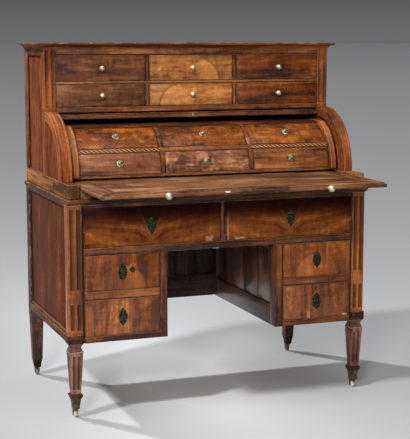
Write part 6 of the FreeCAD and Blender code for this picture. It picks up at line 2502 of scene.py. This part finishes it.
@dataclass(frozen=True)
class Studio:
    """The pale floor with its painted light, the grey behind it, the lamps and the camera."""

    camera_place: Triple = (-1.49274, -3.99015, 1.23201)
    pitch: float = 0.1440
    yaw: float = -0.3581
    focal: float = 1235.14
    frame_width: int = 410
    sensor: float = 36.0
    sight: float = 2000.0
    floor_radius: float = 600.0
    floor_corners: int = 64
    # The floor's colour at the painted pool of light round the desk and far away, with the pool's size,
    # fall-off, centre, shape and slope.
    floor_near: str = "ecedef"
    floor_far: str = "57585a"
    floor_pool: float = 0.43
    floor_fading: float = -0.495
    floor_centre: Triple = (-0.02, 0.215, 0.0)
    floor_squeeze: Triple = (2.6, 1.0, 1.0)
    floor_slope: Triple = (0.936, -0.351, 0.0)
    floor_tilt: float = 0.1
    floor_dullness: float = 0.75
    floor_gloss: float = 0.2
    sky: tuple[str, str] = ("2a2a28", "f2f4f6")
    sky_strength: float = 0.8
    backdrop: tuple[str, str] = ("6a6b6d", "494a4c")
    lamps: tuple[Lamp | Sun, ...] = (
        Sun("key_sun", (-0.6, 0.8, 0.795), 2.3, 2.5), Sun("side_sun", (-0.9, -0.45, 1.11), 1.85, 5.0),
        Lamp("front_lamp", (-3.6, -6.0, 3.2), 1.4, 275.0),
        Lamp("top_lamp", (0.1, -1.4, 4.0), 1.2, 26.0, (0.1, -1.0, 0.0)),
        Lamp("low_lamp", (0.52, -4.3, 1.1), 0.3, 3.0))

    def build(self) -> None:
        """Sets up the whole studio."""
        self._camera()
        self._floor()
        self._world()
        for lamp in self.lamps:
            lamp.hang()
        bpy.context.scene.view_settings.view_transform = "Standard"

    def _camera(self) -> None:
        """Adds the camera at the photograph's place and angle."""
        data = bpy.data.cameras.new("camera")
        data.sensor_fit = "HORIZONTAL"
        data.sensor_width = self.sensor
        data.lens = self.focal * self.sensor / self.frame_width
        data.clip_end = self.sight
        camera = bpy.data.objects.new("camera", data)
        camera.location = self.camera_place
        camera.rotation_euler = Euler((math.pi / 2 - self.pitch, 0.0, self.yaw))
        bpy.context.scene.collection.objects.link(camera)
        bpy.context.scene.camera = camera

    def _floor(self) -> None:
        """Lays the floor, with a painted pool of light round the desk that fades with distance, and a painted
        slope of light across it.
        """
        turns = [math.tau * i / self.floor_corners for i in range(self.floor_corners)]
        points = [(self.floor_radius * math.cos(turn), self.floor_radius * math.sin(turn), 0.0)
                  for turn in turns]
        mesh = bpy.data.meshes.new("studio_floor")
        mesh.from_pydata(points, [], [tuple(range(self.floor_corners))])
        made, graph, shader = new_material("studio floor")
        place = graph.put("TexCoord", {}, "Object")
        # Painted light: the floor's colour pales in a pool round the desk and darkens with distance.
        away = graph.length((place - self.floor_centre) * self.floor_squeeze)
        share = graph.most(away / self.floor_pool, 1.0) ** self.floor_fading
        # Painted light: a gentle slope of brightness from left to right across the floor.
        x, y, _ = graph.split(place * self.floor_slope)
        tilt = graph.ramp(x + y, -1.0, 1.0, 1.0 - self.floor_tilt, 1.0 + self.floor_tilt)
        tone = tilt * graph.ramp(graph.noise(place, 60.0, 3.0), 0.2, 0.8, 0.98, 1.0)
        color = graph.blend(share, paint(self.floor_far), paint(self.floor_near)) * tone
        for name, value in (("Base Color", color), ("Roughness", self.floor_dullness),
                            ("Specular IOR Level", self.floor_gloss)):
            graph.feed(shader.inputs[name], value)
        mesh.materials.append(made)
        floor = bpy.data.objects.new("studio_floor", mesh)
        bpy.context.scene.collection.objects.link(floor)

    def _world(self) -> None:
        """Sets an even soft light, and the grey that the camera sees behind the floor."""
        world = bpy.data.worlds.new("studio")
        bpy.context.scene.world = world
        world.use_nodes = True
        graph, nodes = Graph(world.node_tree), world.node_tree.nodes
        _, _, up = graph.split(graph.put("TexCoord", {}, "Generated"))
        light = nodes["Background"]
        graph.feed(light.inputs["Color"], graph.blend(graph.ramp(up, 0.5, 1.0), *map(paint, self.sky)))
        graph.feed(light.inputs["Strength"], self.sky_strength)
        grey = graph.blend(graph.ramp(up, 0.0, 0.06), *map(paint, self.backdrop))
        camera_ray = graph.put("LightPath", {}, "Is Camera Ray")
        shown = graph.most(camera_ray, camera_ray.beside("Is Transmission Ray"))
        seen = graph.put("Background", {"Color": grey})
        mixed = graph.put("MixShader", {0: shown, 1: Value(graph, light.outputs[0]), 2: seen})
        graph.feed(nodes["World Output"].inputs["Surface"], mixed)


def main() -> None:
    """Builds the desk from the floor up and the studio round it, and reports each part."""
    logging.basicConfig(level=logging.INFO, format="%(name)s: %(message)s")
    posts = CornerPosts()
    lower = LowerCarcass()
    parts = (posts, Sabots(posts), Castors(posts), lower, Panels(lower), WaistPlate(), Plinth(),
             UpperFrame(), UpperCase(), Cornice(), InteriorCase(), Cylinder(), WritingSlide(),
             LockedDrawers(), CaseDrawers(), InteriorDrawers(), Studio())
    for part in parts:
        part.build()
        log.info("%s is made", type(part).__name__)


if __name__ == "__main__":
    main()
